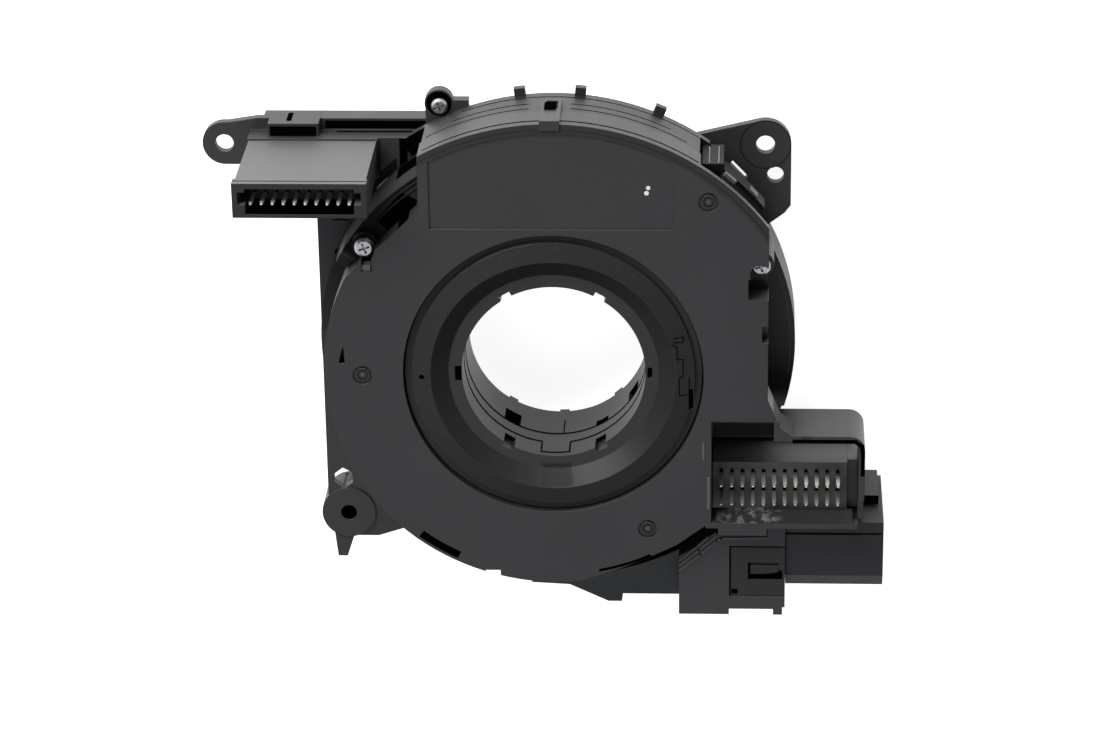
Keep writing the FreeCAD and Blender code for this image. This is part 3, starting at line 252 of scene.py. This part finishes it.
class Form(Nodes):
    """A Geometry Nodes tree in millimetres, with named inputs for its sizes."""

    KINDS = {int: "NodeSocketInt", float: "NodeSocketFloat", tuple: "NodeSocketVector"}
    UNION = {"operation": "UNION", "solver": "EXACT"}
    DIFFERENCE = {"operation": "DIFFERENCE", "solver": "EXACT"}

    def __init__(self, name, **sizes):
        super().__init__(bpy.data.node_groups.new(name, "GeometryNodeTree"))
        self.sizes = sizes
        self.tree.interface.new_socket("Mesh", in_out="OUTPUT", socket_type="NodeSocketGeometry")
        for label, value in sizes.items():
            self.tree.interface.new_socket(label, in_out="INPUT", socket_type=self.KINDS[type(value)])
        self.source = self.tree.nodes.new("NodeGroupInput")

    def size(self, label):
        return Term(self, self.source.outputs[label])

    def moved(self, shape, x=0.0, y=0.0, z=0.0, scale=(1, 1, 1)):
        place = self.add("ShaderNodeCombineXYZ", {}, x, y, z)
        return self.add("GeometryNodeTransform", {}, shape, Translation=place, Scale=scale)

    def cylinder(self, radius, depth, sides):
        return self.add("GeometryNodeMeshCylinder", {}, Vertices=sides, Radius=radius, Depth=depth)

    def box(self, length, width, height):
        return self.add("GeometryNodeMeshCube", {}, self.add("ShaderNodeCombineXYZ", {}, length, width, height))

    def build(self, name, shape, material):
        """The finished tree's result as a plain mesh on an object of its own, in metres."""
        whole = self.add("GeometryNodeRealizeInstances", {}, shape)
        whole = self.moved(whole, scale=(MM, MM, MM))
        whole = self.add("GeometryNodeSetMaterial", {}, whole, Material=material)
        end = self.tree.nodes.new("NodeGroupOutput")
        self.tree.links.new(whole.socket, end.inputs[0])
        built = bpy.data.objects.new(name, bpy.data.meshes.new(name))
        bpy.context.scene.collection.objects.link(built)
        modifier = built.modifiers.new("Form", "NODES")
        modifier.node_group = self.tree
        for item in self.tree.interface.items_tree:
            if item.in_out == "INPUT":
                modifier[item.identifier] = self.sizes[item.name]
        graph = bpy.context.evaluated_depsgraph_get()
        mesh = bpy.data.meshes.new_from_object(built.evaluated_get(graph), depsgraph=graph)
        built.modifiers.remove(modifier)
        built.data = mesh
        return built


# How dark each plastic is from place to place: real marks, painted shade and painted shadow


def grey(tone, warm=0.0):
    return (tone * (1 + warm), tone, tone * (1 - warm), 1)


def band(term, low, high, soft=0.08):
    """1 between two limits, 0 outside them."""
    return ((term - low) / soft).clamp() * ((high - term) / soft).clamp()


def distance(paint, x, y):
    """Distance in plan from a point, in millimetres."""
    along, across, _ = paint.axes
    return ((along - x) * (along - x) + (across - y) * (across - y)) ** 0.5


def shelf_shade(angle):
    """Darkness of the walls behind the left connector, by angle round the bore."""
    return band(angle, 119.0, 150.0, 1.0) * 0.88 + band(angle, 150.0, 178.0, 1.0) * 0.40


def cover_marks_and_shade(paint):
    """The cover's rim band and groove and its ejector marks, with painted shade on the slope at its mouth and on
    its wall behind the left connector.
    """
    along, across, rise = paint.axes
    radius = distance(paint, 0.0, 0.0)
    rim = band(radius, 60.45, 63.2, 0.1) * 0.34
    groove = band(radius, 61.25, 61.6) * 0.5
    rounded_side = band(across, -20.0, 70.0)
    dark = (rim + groove) * rounded_side
    for x, y in EJECTOR_MARKS:
        spot = distance(paint, x, y)
        dark = dark + band(spot, 0.55, 0.8) * 0.35 + band(spot, -0.5, 0.55) * 0.12
    top = band(rise, FACE - 0.3, FACE + 0.3)
    # Painted shade on the slope into the large connector's mouth, which faces away from the light
    slope = band(along, 37.6, 56.8) * band(across, -15.4, -9.0) * band(rise, 25.0, 33.8)
    # Painted shade on the wall behind the left connector
    wall = band(rise, 10.0, FACE - 0.9) * band(radius, 51.0, 70.0)
    return dark * top + slope * 0.5 + shelf_shade(across.bearing(along)) * wall


def case_painted_shade(paint):
    """Painted shade: the case is darker on its shelf side, where the left connector shades it."""
    along, across, _ = paint.axes
    return shelf_shade(across.bearing(along))


def shell_frame_shade(paint):
    """Painted shade: the tall connector's front frame is painted darker than its walls."""
    rise = paint.axes[2]
    return band(rise, 41.9, 42.2) * 0.85


def rotor_shadow_and_matt(paint):
    """Painted shadow of the cover's edge on the ring's outer band, and a matt field low on its cone, also painted
    darker where the glare is missing.
    """
    along, across, _ = paint.axes
    radius = distance(paint, 0.0, 0.0)
    # Painted shadow of the cover's edge
    outer_band_shadow = band(radius, 33.45, 35.3) * 0.30
    # Matt field, also painted darker where the glare is missing
    cone_field_matt_and_shade = band(radius, 23.6, 28.7) * band(across.bearing(along), -98.0, -80.0, 1.5)
    return outer_band_shadow + cone_field_matt_and_shade * 0.45


# Finishes


def moulded(name, tone, gloss, grain=1.0, marks_and_shade=None, shine=0.5):
    """Injection-moulded black plastic: spark-eroded grain, faint flow, handling dust and rubbed edges."""
    paint = Paint(name)
    soft = paint.soft_normal(0.00022)
    facing = paint.add("ShaderNodeNewGeometry", {}, out="Normal")
    straight = paint.add("ShaderNodeVectorMath", {"operation": "DOT_PRODUCT"}, soft, facing, out="Value")
    rubbed = ((1.0 - straight) * 6.0).clamp()
    fine = paint.noise(5200.0, 3.0, 0.6)
    flow = paint.noise(38.0, 3.0, 0.55)
    dust = (paint.specks(paint.noise(900.0, 1.0), 0.66, 0.74) * flow).clamp()
    base = paint.blend(flow, grey(tone * 0.86), grey(tone * 1.14, 0.01))
    base = paint.blend(rubbed * 0.35, base, grey(tone * 2.6))
    base = paint.blend(dust * 0.05, base, grey(0.30, 0.03))
    rough = gloss + (flow - 0.5) * 0.16 + dust * 0.15 - rubbed * 0.10
    # Real dark marks, painted shade and painted shadow from the mask darken the base colour and roughen it
    if marks_and_shade:
        dark_marks_and_shade = marks_and_shade(paint).clamp()
        base = paint.blend(dark_marks_and_shade, base, grey(tone * 0.12))
        rough = rough + dark_marks_and_shade * 0.5
    shape = paint.bump(fine, 0.000035 * grain, 0.6, soft)
    rough = rough.clamp(0.08, 0.95)
    return paint.finish(Base_Color=base, Roughness=rough, Normal=shape, Specular_IOR_Level=shine)


def scuffed(name, tone):
    """Dark plastic with pale scuffs on its left part."""
    paint = Paint(name)
    along = paint.axes[0]
    scuff = paint.specks(paint.noise(420.0, 4.0, 0.7), 0.48, 0.62)
    worn = (scuff * band(along, 36.0, 55.0, 3.0)).clamp()
    base = paint.blend(worn, grey(tone), grey(0.10, 0.04))
    rough = (worn * 0.3 + 0.5).clamp()
    shape = paint.bump(paint.noise(5200.0), 0.00003, 0.5)
    return paint.finish(Base_Color=base, Roughness=rough, Normal=shape)


def plated(name, colour, rough, metal=1.0):
    """Bright plated metal with fine drawn lines and slight staining."""
    paint = Paint(name)
    soft = paint.soft_normal(0.00008)
    stain = paint.noise(700.0, 3.0, 0.6)
    darker = tuple(part * 0.72 for part in colour[:3]) + (1,)
    base = paint.blend(stain, darker, colour)
    shape = paint.bump(paint.noise(6000.0), 0.000008, 0.5, soft)
    rough = (rough + stain * 0.12).clamp()
    return paint.finish(Base_Color=base, Metallic=metal, Roughness=rough, Normal=shape)


def plain(name, colour, rough, metal=0.0):
    """A finish for hidden pieces and dabs, with a little mottling."""
    paint = Paint(name)
    spots = paint.noise(400.0, 3.0)
    darker = tuple(part * 0.8 for part in colour[:3]) + (1,)
    base = paint.blend(spots, darker, colour)
    shape = paint.bump(spots, 0.00001, 0.4)
    rough = (rough + spots * 0.1).clamp()
    return paint.finish(Base_Color=base, Roughness=rough, Metallic=metal, Normal=shape)


def dark_joint_and_shade():
    """Near-black for dark joints, and painted shade for the insides of openings, too dark to show anything."""
    return Paint("Hollow").finish(Base_Color=grey(0.0008), Roughness=1.0, Specular_IOR_Level=0.0)


def finishes():
    """Every material, under the short name that the pieces use."""
    return {
        "cover": moulded("CoverPlastic", 0.017, 0.46, marks_and_shade=cover_marks_and_shade),
        "case": moulded("HousingPlastic", 0.015, 0.50, 1.2, marks_and_shade=case_painted_shade),
        "rotor": moulded("RotorPlastic", 0.018, 0.40, 0.8, marks_and_shade=rotor_shadow_and_matt, shine=0.30),
        "carrier": moulded("CarrierPlastic", 0.018, 0.50),
        "block": moulded("BlockPlastic", 0.024, 0.50),
        "panel": moulded("PanelPlastic", 0.006, 0.52),
        # The tall connector is the case's black plastic painted lighter: painted light on its walls, with painted
        # shade back on its front frame
        "shell": moulded("TallSocketPlastic", 0.066, 0.48, marks_and_shade=shell_frame_shade),
        "header": moulded("HeaderPlastic", 0.078, 0.46),
        # Near-black plastic for the bracket's groove, also painted shade on the carrier's corner, the slope into
        # the mouth and the case wall beside the bracket
        "guard": moulded("GuardPlastic", 0.0025, 0.60, shine=0.2),
        "sill": scuffed("SillPlastic", 0.012),
        # Painted light: pale grey for the tall connector's floor, which the key light does not reach
        "floor_painted_light": moulded("InsulatorPlastic", 0.22, 0.5),
        "dark_joint_and_shade": dark_joint_and_shade(),
        "dab": plain("WhiteDab", (0.80, 0.80, 0.78, 1), 0.5),
        "pin": plated("TinnedPin", (0.74, 0.71, 0.64, 1), 0.30, 0.8),
        # The same tinned pins painted brighter: painted light on the tall connector's pins, which lie in shade
        "pin_painted_light": plated("BrightPin", (0.95, 0.91, 0.82, 1), 0.30, 0.4),
        "screw": plated("ZincScrew", (0.50, 0.50, 0.49, 1), 0.34),
        "gear": plain("NaturalGear", (0.72, 0.70, 0.64, 1), 0.4),
        "magnet": plain("GroundMagnet", (0.22, 0.22, 0.23, 1), 0.35, 1.0),
        "board": plain("CoatedBoard", (0.008, 0.022, 0.012, 1), 0.45),
        "chip": plain("ChipResin", (0.02, 0.02, 0.02, 1), 0.5),
        "ribbon": plain("RibbonFilm", (0.42, 0.27, 0.10, 1), 0.28),
    }


FINISHED_NODES = {
    "cover": ["front_cover"],
    "case": ["cover_stakes", "case_body", "rear_cover", "inner_terminal", "outer_terminal", "rear_lid"],
    "rotor": ["rotor_flange", "rotor_sleeve", "rotor_rear_ring"],
    "carrier": ["sensor_carrier"],
    "block": ["electronics_housing"],
    "panel": ["block_latch_cover", "stalk_socket"],
    "shell": ["left_connector_shell"],
    "header": ["right_header"],
    "pin": ["right_connector_pins"],
    "pin_painted_light": ["left_connector_pins"],
    "screw": ["case_screws", "ear_screw"],
    "gear": ["drive_gear_ring", "first_pinion", "second_pinion"],
    "magnet": ["first_magnet", "second_magnet"],
    "board": ["circuit_board"],
    "chip": ["angle_chips", "control_chip"],
    "ribbon": ["flat_cable"],
}


def dress_nodes(paints):
    """Each node of the frame in its own finish."""
    for finish, names in FINISHED_NODES.items():
        for name in names:
            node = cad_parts[name]
            node.data.materials.clear()
            node.data.materials.append(paints[finish])


# Shapes for the small pieces, in millimetres


def skin(surface, proud=0.06):
    """Lower and upper height of a thin inlay on a surface."""
    return surface - 0.02, surface + proud


def level(height):
    """A flat surface in the form that trace takes."""
    return lambda x, y: height


def joined(bottom, top):
    """A closed solid between two loops of the same number of points."""
    count = len(bottom)
    faces = [tuple(reversed(range(count))), tuple(range(count, 2 * count))]
    for index in range(count):
        after = (index + 1) % count
        faces.append((index, after, count + after, count + index))
    return list(bottom) + list(top), faces


def slab(corners, low, high):
    """A flat plate: its corners in plan, between two heights."""
    return joined([(x, y, low) for x, y in corners], [(x, y, high) for x, y in corners])


def block(x, y, z):
    """A straight box between two limits along each axis."""
    return slab([(x[0], y[0]), (x[1], y[0]), (x[1], y[1]), (x[0], y[1])], z[0], z[1])


def swept(profile, start, end, centre=(0.0, 0.0), step=2.0):
    """A solid of (radius, height) points carried round an axis between two angles in degrees."""
    closed = end - start >= 360.0
    count = max(2, int((end - start) / step) + 1)
    spans = count if closed else count - 1
    turns = [math.radians(start + (end - start) * index / spans) for index in range(count)]
    x, y = centre
    points = [(x + r * math.cos(turn), y + r * math.sin(turn), z) for turn in turns for r, z in profile]
    sides = len(profile)
    faces = []
    for index in range(spans):
        here = index * sides
        there = ((index + 1) % count) * sides
        for side in range(sides):
            after = (side + 1) % sides
            faces.append((here + side, there + side, there + after, here + after))
    if not closed:
        faces.append(tuple(range(sides)))
        faces.append(tuple(reversed(range(len(points) - sides, len(points)))))
    return points, faces


def arc(inner, outer, low, high, start, end):
    """A curved bar of rectangular section."""
    return swept([(inner, low), (outer, low), (outer, high), (inner, high)], start, end)


def hoop(centre, inner, outer, low, high):
    """A flat ring round a centre of its own."""
    return swept([(inner, low), (outer, low), (outer, high), (inner, high)], 0.0, 360.0, centre, 15.0)


def trace(spots, width, height, thick):
    """Thin bars along a line of plan points; height gives the surface under each point."""
    parts = []
    for (x0, y0), (x1, y1) in zip(spots, spots[1:]):
        reach = math.hypot(x1 - x0, y1 - y0) / (width / 2)
        dx, dy = (x1 - x0) / reach, (y1 - y0) / reach
        corners = [
            (x0 - dx - dy, y0 - dy + dx),
            (x0 - dx + dy, y0 - dy - dx),
            (x1 + dx + dy, y1 + dy - dx),
            (x1 + dx - dy, y1 + dy + dx),
        ]
        under = [(x, y, height(x, y) - thick) for x, y in corners]
        over = [(x, y, height(x, y) + thick) for x, y in corners]
        parts.append(joined(under, over))
    return parts


def piece(name, parts, body, paint):
    """One named piece from several solids, riding on a body."""
    shape = bmesh.new()
    for points, faces in parts:
        corners = [shape.verts.new(Vector(point) * MM) for point in points]
        for face in faces:
            shape.faces.new([corners[index] for index in face])
    bmesh.ops.recalc_face_normals(shape, faces=shape.faces)
    mesh = bpy.data.meshes.new(name)
    shape.to_mesh(mesh)
    shape.free()
    mesh.materials.append(paint)
    result = bpy.data.objects.new(name, mesh)
    bpy.context.scene.collection.objects.link(result)
    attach(result, body)
    return result


# Pin wells


def pin_wells(name, centre, top, columns, rows, row_gap, radius, stretch, paint):
    """Painted shade: near-black discs for the shaded wells that the pins of a connector stand in."""
    grid_sizes = {"Columns": columns, "Rows": rows, "Pitch": PIN_PITCH, "Row_gap": row_gap}
    places = {"Centre_x": centre[0], "Centre_y": centre[1], "Top": top}
    form = Form(name + "_form", **grid_sizes, Radius=radius, **places)
    width = (form.size("Columns") - 1.0) * form.size("Pitch")
    counts = {"Vertices_X": form.size("Columns"), "Vertices_Y": form.size("Rows")}
    grid = form.add("GeometryNodeMeshGrid", {}, Size_X=width, Size_Y=form.size("Row_gap"), **counts)
    well = form.cylinder(form.size("Radius"), 0.08, 24)
    well = form.moved(well, scale=(1.0, stretch, 1.0))
    wells = form.add("GeometryNodeInstanceOnPoints", {}, grid, Instance=well)
    wells = form.moved(wells, form.size("Centre_x"), form.size("Centre_y"), form.size("Top") + 0.01)
    result = form.build(name, wells, paint)
    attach(result, "housing")


def header_wells(paint):
    """Two rows of wells in the large connector's pin block."""
    pin_wells("header_wells", (53.5, -32.45), 22.0, 12, 2, 4.8, 0.46, 1.8, paint)


def tall_socket_wells(paint):
    """One row of wells in the tall connector's floor."""
    pin_wells("tall_socket_wells", (-57.2, 45.4), 32.46, 10, 1, 0.0, 0.42, 1.3, paint)


# Screws


def screws(name, first, last, count, length, node, paint, radius=2.35):
    """Cross-head screws, each with a crowned head, a recess of two crossed slots and a plain shank."""
    head_sizes = {"Head_radius": radius, "Head_height": 1.7}
    shank_sizes = {"Shank_radius": 1.2, "Shank_length": length}
    slot_sizes = {"Slot_width": 0.46, "Slot_length": 2.7, "Slot_depth": 0.8}
    sizes = head_sizes | shank_sizes | slot_sizes
    form = Form(name + "_form", First=first, Last=last, Count=count, **sizes)
    wide, tall, long = form.size("Head_radius"), form.size("Head_height"), form.size("Shank_length")
    rim = form.moved(form.cylinder(wide, tall * 0.6, 48), z=tall * -0.7)
    cone = {"Vertices": 48, "Radius_Top": wide * 0.74, "Radius_Bottom": wide, "Depth": tall * 0.4}
    crown = form.moved(form.add("GeometryNodeMeshCone", {}, **cone), z=tall * -0.4)
    shank = form.moved(form.cylinder(form.size("Shank_radius"), long, 32), z=long * -0.5 - tall + 0.05)
    solid = form.add("GeometryNodeMeshBoolean", form.UNION, Mesh_2=[rim, crown, shank])
    slot_length, slot_width = form.size("Slot_length"), form.size("Slot_width")
    cut = form.size("Slot_depth") * 2.0
    slots = [form.box(slot_length, slot_width, cut), form.box(slot_width, slot_length, cut)]
    cross = form.add("GeometryNodeMeshBoolean", form.UNION, Mesh_2=slots)
    head = form.add("GeometryNodeMeshBoolean", form.DIFFERENCE, solid, cross)
    ends = {"Start_Location": form.size("First"), "Offset": form.size("Last")}
    spots = form.add("GeometryNodeMeshLine", {"mode": "END_POINTS"}, Count=form.size("Count"), **ends)
    placed = form.add("GeometryNodeInstanceOnPoints", {}, spots, Instance=head, Rotation=(0.0, 0.0, 0.35))
    result = form.build(name, placed, paint)
    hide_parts(node)
    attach(result, "housing")


def cross_head_screws(paint):
    """The two screws of the case, at the left and the right edge of the cover."""
    screws("cross_head_screws", (-43.8, 31.1, 31.8), (48.6, 25.6, 28.3), 2, 10.6, "case_screws", paint)


def ear_cross_head_screw(paint):
    """The small screw in the ear at the right end of the bar."""
    place = (-27.0, 59.1, 12.4)
    screws("ear_cross_head_screw", place, place, 1, 7.0, "ear_screw", paint, 1.95)


# Small features of the case and the carrier


def shelf_ribs(paint):
    """Three low curved ribs on the shelf behind the window."""
    sizes = [(56.9, 57.25, 28.3, 121, 150), (55.9, 56.2, 28.25, 122, 149), (54.7, 55.0, 28.2, 123, 147)]
    ribs = [arc(inner, outer, SHELF_TOP - 0.1, high, start, end) for inner, outer, high, start, end in sizes]
    piece("shelf_ribs", ribs, "housing", paint)


def shelf_window(paint):
    """Painted shade: near-black sheets in the slot in the shelf and its upper part in the chord wall."""
    slot = [(-34.8, 43.8), (-31.6, 40.9), (-38.5, 34.3), (-41.1, 36.9)]
    bearing = math.radians(133.6)
    sine, cosine = math.sin(bearing), math.cos(bearing)
    wall = [(51.24, -0.4), (51.30, -0.4), (51.30, 3.0), (51.24, 3.0)]
    upright = [(cosine * out + sine * along, sine * out - cosine * along) for out, along in wall]
    parts = [slab(slot, *skin(SHELF_TOP)), slab(upright, SHELF_TOP, 33.8)]
    piece("shelf_window", parts, "housing", paint)


def carrier_hollows(paint):
    """Painted shade: near-black sheets in the openings of the carrier's arm, bar, clip, flange and boss, and
    shade by the arm and the ear's screw.
    """
    parts = [
        slab([(-36.8, 43.8), (-32.2, 47.2), (-32.2, 50.8), (-36.8, 50.8)], *skin(TRAY_TOP)),
        block((-54.8, -29.6), (51.4, 53.3), skin(BAR_TOP)),
        block((-52.0, -29.8), (50.96, 51.06), (6.4, 7.2)),
        block((-67.5, -56.5), (50.9, 53.4), skin(CLIP_TOP)),
        block((-63.8, -62.6), (54.08, 54.16), (2.5, 8.0)),
        hoop((-52.2, 21.9), 0.45, 0.95, *skin(TRAY_TOP)),
        block((-53.3, -49.4), (30.1, 30.35), skin(TRAY_TOP)),
        hoop((-52.1, -46.8), 1.82, 1.95, 3.0, 11.4),
        arc(58.0, 62.35, *skin(DISC_TOP), 119.0, 125.5),
        arc(57.2, 57.45, 13.06, 20.0, 120.5, 130.0),
        hoop((-27.16, 59.6), 1.4, 3.0, *skin(TRAY_TOP)),
    ]
    piece("carrier_hollows", parts, "housing", paint)


def carrier_corner(paint):
    """The carrier's shaded corner behind the tall connector."""
    corner = [(-47.5, 32.6), (-43.6, 37.3), (-37.6, 43.3), (-37.6, 46.0), (-41.6, 42.4), (-47.5, 40.0)]
    piece("carrier_corner", [slab(corner, *skin(TRAY_TOP, 0.05))], "housing", paint)


def tall_socket_floor(paint):
    """The floor that the tall connector's pins stand in, painted pale grey as painted light where the key light
    does not reach.
    """
    floor = block((-69.7, -44.7), (43.6, 49.6), skin(SOCKET_FLOOR))
    piece("tall_socket_floor", [floor], "housing", paint)


def tall_socket_shade(paint):
    """The shade on one inner wall of the tall connector, and the line below its outer rim."""
    shade = block((-69.7, -44.7), (43.48, 43.56), (32.5, 41.9))
    line = block((-72.7, -41.8), (50.96, 51.05), (40.1, 40.4))
    piece("tall_socket_shade", [shade, line], "housing", paint)


def wall_lines(paint):
    """Fine joints round the case wall and under the cover's rim."""
    spans = [(18.5, 64, 86), (18.5, 95, 112), (21.8, 60, 86), (21.8, 95, 118), (14.0, 52, 110)]
    lines = [arc(62.40, 62.52, low, low + 0.4, start, end) for low, start, end in spans]
    lines.append(arc(62.72, 62.86, 31.3, 31.7, 57, 118))
    piece("wall_lines", lines, "housing", paint)


# Small features of the cover and the lower block


def mouth_sill(paint):
    """The dark sill below the large connector's mouth."""
    profile = [(-38.1, 34.0), (-36.8, 28.9), (-36.8, 28.0), (-38.1, 28.0)]
    left, right = [[(x, y, z) for y, z in profile] for x in (37.5, 70.9)]
    piece("mouth_sill", [joined(left, right)], "housing", paint)


def header_end(paint):
    """The end of the large connector's pin block, beside its shroud."""
    end = block((69.8, 73.4), (-40.0, -27.6), (9.5, 20.0))
    piece("header_end", [end], "housing", paint)


def mouth_shade(paint):
    """The dark line along the mouth's upper edge and round its corner."""
    edge = [(56.9, -16.5), (71.2, -16.5), (72.8, -17.7), (73.1, -20.0), (73.1, -25.0)]
    piece("mouth_shade", trace(edge, 1.0, level(FACE), 0.04), "housing", paint)


def mouth_ramp_shade(paint):
    """Painted shade: a dark skin on the slope that leads into the mouth, which faces away from the light."""
    slope = [(37.7, -16.4), (53.3, -16.4), (53.3, -11.9), (37.7, -11.9)]
    under, over = [[(x, y, 32.8 + 0.563 * (y + 13.6) + lift) for x, y in slope] for lift in (-0.02, 0.05)]
    piece("mouth_ramp_shade", [joined(under, over)], "housing", paint)


def mouth_lip_highlights(paint):
    """Painted highlights: two short pale strips on the rounded edges at the left of the mouth."""
    heights = (33.96, 34.1)
    lips = [block((36.3, 36.9), (-34.4, -25.9), heights), block((35.1, 35.6), (-21.5, -17.2), heights)]
    piece("mouth_lip_highlights", lips, "housing", paint)


def block_ridges(paint):
    """Raised lines on the lower block that follow the round case."""
    routes = [
        (0.45, [(29.6, -53.2), (34.6, -48.8), (38.4, -45.2), (39.6, -44.5), (50.5, -44.3)]),
        (0.45, [(29.6, -51.8), (34.2, -47.7), (38.3, -43.9)]),
        (0.35, [(29.6, -50.4), (33.6, -46.8), (36.4, -44.2)]),
    ]
    ridges = []
    for width, spots in routes:
        ridges += trace(spots, width, level(BLOCK_TOP), 0.3)
    piece("block_ridges", ridges, "housing", paint)


def panel_gaps(paint):
    """Dark gaps round the small latched panel, its window and the end of the far socket's riser."""
    gap = (BLOCK_TOP - 0.03, BLOCK_TOP + 0.04)
    window_floor = 28.2
    parts = [
        block((41.55, 41.85), (-60.0, -46.6), gap),
        block((41.6, 54.9), (-46.85, -46.6), gap),
        block((46.1, 46.6), (-55.4, -51.0), (window_floor, gap[1])),
        slab([(46.6, -55.4), (54.4, -55.4), (54.4, -53.6), (46.6, -54.8)], window_floor, BLOCK_TOP),
        block((42.1, 43.6), (-59.4, -58.1), gap),
        block((73.7, 77.6), (-41.0, -38.85), skin(RISER_TOP)),
    ]
    piece("panel_gaps", parts, "housing", paint)


def cover_marks(paint):
    """The cover's dark marks: rings round the stakes, the pointer and a slot at its lower edge, with a painted
    shadow along the plate's edge above the wing and painted shade in the strap's recess on the rim.
    """
    heights = skin(FACE, 0.04)
    marks = [hoop(stake, 1.0, 1.2, 33.85, 33.95) for stake in STAKES]
    marks.append(slab([(-50.6, 3.05), (-49.1, 3.05), (-49.5, 7.15)], *heights))
    marks.append(arc(51.6, 53.5, *heights, 232.2, 243.8))
    # Painted shadow along the plate's edge above the wing
    marks.append(arc(51.65, 52.3, *heights, 281.5, 296.0))
    # Painted shade in the strap's recess on the rim
    marks.append(arc(63.9, 64.1, 22.3, 26.6, 88.9, 91.4))
    piece("cover_marks", marks, "housing", paint)


def bracket_ring(paint):
    """The fine groove round the bracket's corner hole."""
    piece("bracket_ring", [hoop((49.6, 47.6), 5.85, 6.1, 5.45, 5.53)], "housing", paint)


def pocket_step(paint):
    """The step inside the cover's screw pocket."""
    pocket = block((-44.7, -42.3), (26.1, 27.5), (30.5, 33.5))
    piece("pocket_step", [pocket], "housing", paint)


def stake_centres(paint):
    """The pale centre of each stake."""
    dots = [hoop(stake, 0.05, 0.38, 33.85, 33.98) for stake in STAKES]
    piece("stake_centres", dots, "housing", paint)


def label_dab(paint):
    """Two white dabs on the bare label."""
    heights = (LABEL - 0.04, LABEL + 0.04)
    dabs = [hoop((22.6, 47.2), 0.02, 0.5, *heights), hoop((22.2, 45.9), 0.02, 0.55, *heights)]
    piece("label_dab", dabs, "housing", paint)


def side_wall_shade(paint):
    """Painted shade: a near-black panel on the case wall beside the bracket, and a near-black block over the
    recess of its latch.
    """
    parts = [arc(62.2, 63.1, 19.5, 25.5, 38.5, 50.5), block((34.9, 39.9), (48.3, 50.35), (13.2, 26.0))]
    piece("side_wall_shade", parts, "housing", paint)


def side_latch_highlights(paint):
    """Painted highlights: pale strips on the latch's edges and ribs beside the bracket, and along the rim of the
    rear disc.
    """
    parts = [
        arc(62.7, 63.5, 27.0, 28.6, 47.5, 50.5),
        arc(62.9, 63.4, 21.6, 24.6, 41.0, 43.2),
        arc(55.7, 55.95, 12.95, 13.12, -8.0, 22.0),
        block((36.4, 36.7), (50.3, 50.6), (15.0, 26.0)),
        block((38.6, 38.9), (50.3, 50.6), (15.0, 26.0)),
    ]
    piece("side_latch_highlights", parts, "housing", paint)


# Small features of the rotor


def bore_joints(paint):
    """Joints between the tubes of the bore, with the tab below the cone."""
    inner, outer = 21.60, 21.72
    joints = [(23.95, 24.45, -81, 261), (29.7, 30.15, -99, -81), (18.9, 19.4, 0, 360)]
    joints += [(23.95, 30.15, side, side + 0.5) for side in (-99.4, -81.0)]
    parts = [arc(inner, outer, *joint) for joint in joints]
    piece("bore_joints", parts, "rotor", paint)


def window_backs(paint):
    """Painted shade: near-black backs and floors in the bore's windows and latch openings, and in the notch at
    the left of its throat.
    """
    parts = []
    for centre, half, low, high in ((-120, 5.8, 13.0, 19.2), (-60, 4.5, 16.5, 19.2), (-32, 5.8, 13.5, 19.2)):
        parts.append(arc(22.70, 22.84, low, high, centre - half, centre + half))
        parts.append(arc(21.75, 22.72, low, low + 0.06, centre - half, centre + half))
    for centre in (-120, -60, 60, 120):
        parts.append(arc(21.75, 22.70, 26.8, 26.86, centre - 3.6, centre + 3.6))
    parts.append(block((-23.3, -21.75), (-2.1, 1.5), (31.87, 31.95)))
    piece("window_backs", parts, "rotor", paint)


def ring_height(x, y):
    """Height of the sloping ring over a place in plan."""
    return 34.6 - (math.hypot(x, y) - 28.9) * 0.244


def ring_latches(paint):
    """Outlines of the two latches in the sloping ring."""
    upper = [(27.9, 8.4), (29.2, 7.6), (29.2, 4.5), (30.6, 4.5), (30.6, 0.2), (29.7, -0.3), (29.7, -4.7)]
    upper += [(32.0, -4.7), (32.0, -0.3)]
    lower = [(28.4, 9.8), (30.7, 10.1), (30.6, 8.8), (28.5, 8.8)]
    lines = trace(upper, 0.22, ring_height, 0.04) + trace(lower, 0.22, ring_height, 0.04)
    piece("ring_latches", lines, "rotor", paint)


def add_details(paints):
    """The pieces that only this script makes, each in its finish."""
    makers = [
        (header_wells, "dark_joint_and_shade"),
        (tall_socket_wells, "dark_joint_and_shade"),
        (cross_head_screws, "screw"),
        (ear_cross_head_screw, "screw"),
        (shelf_ribs, "case"),
        (shelf_window, "dark_joint_and_shade"),
        (carrier_hollows, "dark_joint_and_shade"),
        (carrier_corner, "guard"),
        (tall_socket_floor, "floor_painted_light"),
        (tall_socket_shade, "dark_joint_and_shade"),
        (wall_lines, "dark_joint_and_shade"),
        (mouth_sill, "sill"),
        (header_end, "header"),
        (mouth_shade, "dark_joint_and_shade"),
        (mouth_ramp_shade, "guard"),
        (mouth_lip_highlights, "header"),
        (block_ridges, "header"),
        (panel_gaps, "dark_joint_and_shade"),
        (cover_marks, "dark_joint_and_shade"),
        (bracket_ring, "guard"),
        (pocket_step, "header"),
        (stake_centres, "shell"),
        (label_dab, "dab"),
        (side_wall_shade, "guard"),
        (side_latch_highlights, "header"),
        (bore_joints, "dark_joint_and_shade"),
        (window_backs, "dark_joint_and_shade"),
        (ring_latches, "dark_joint_and_shade"),
    ]
    for make, finish in makers:
        make(paints[finish])


place_camera()
studio()
floor_sheet()
paints = finishes()
dress_nodes(paints)
add_details(paints)
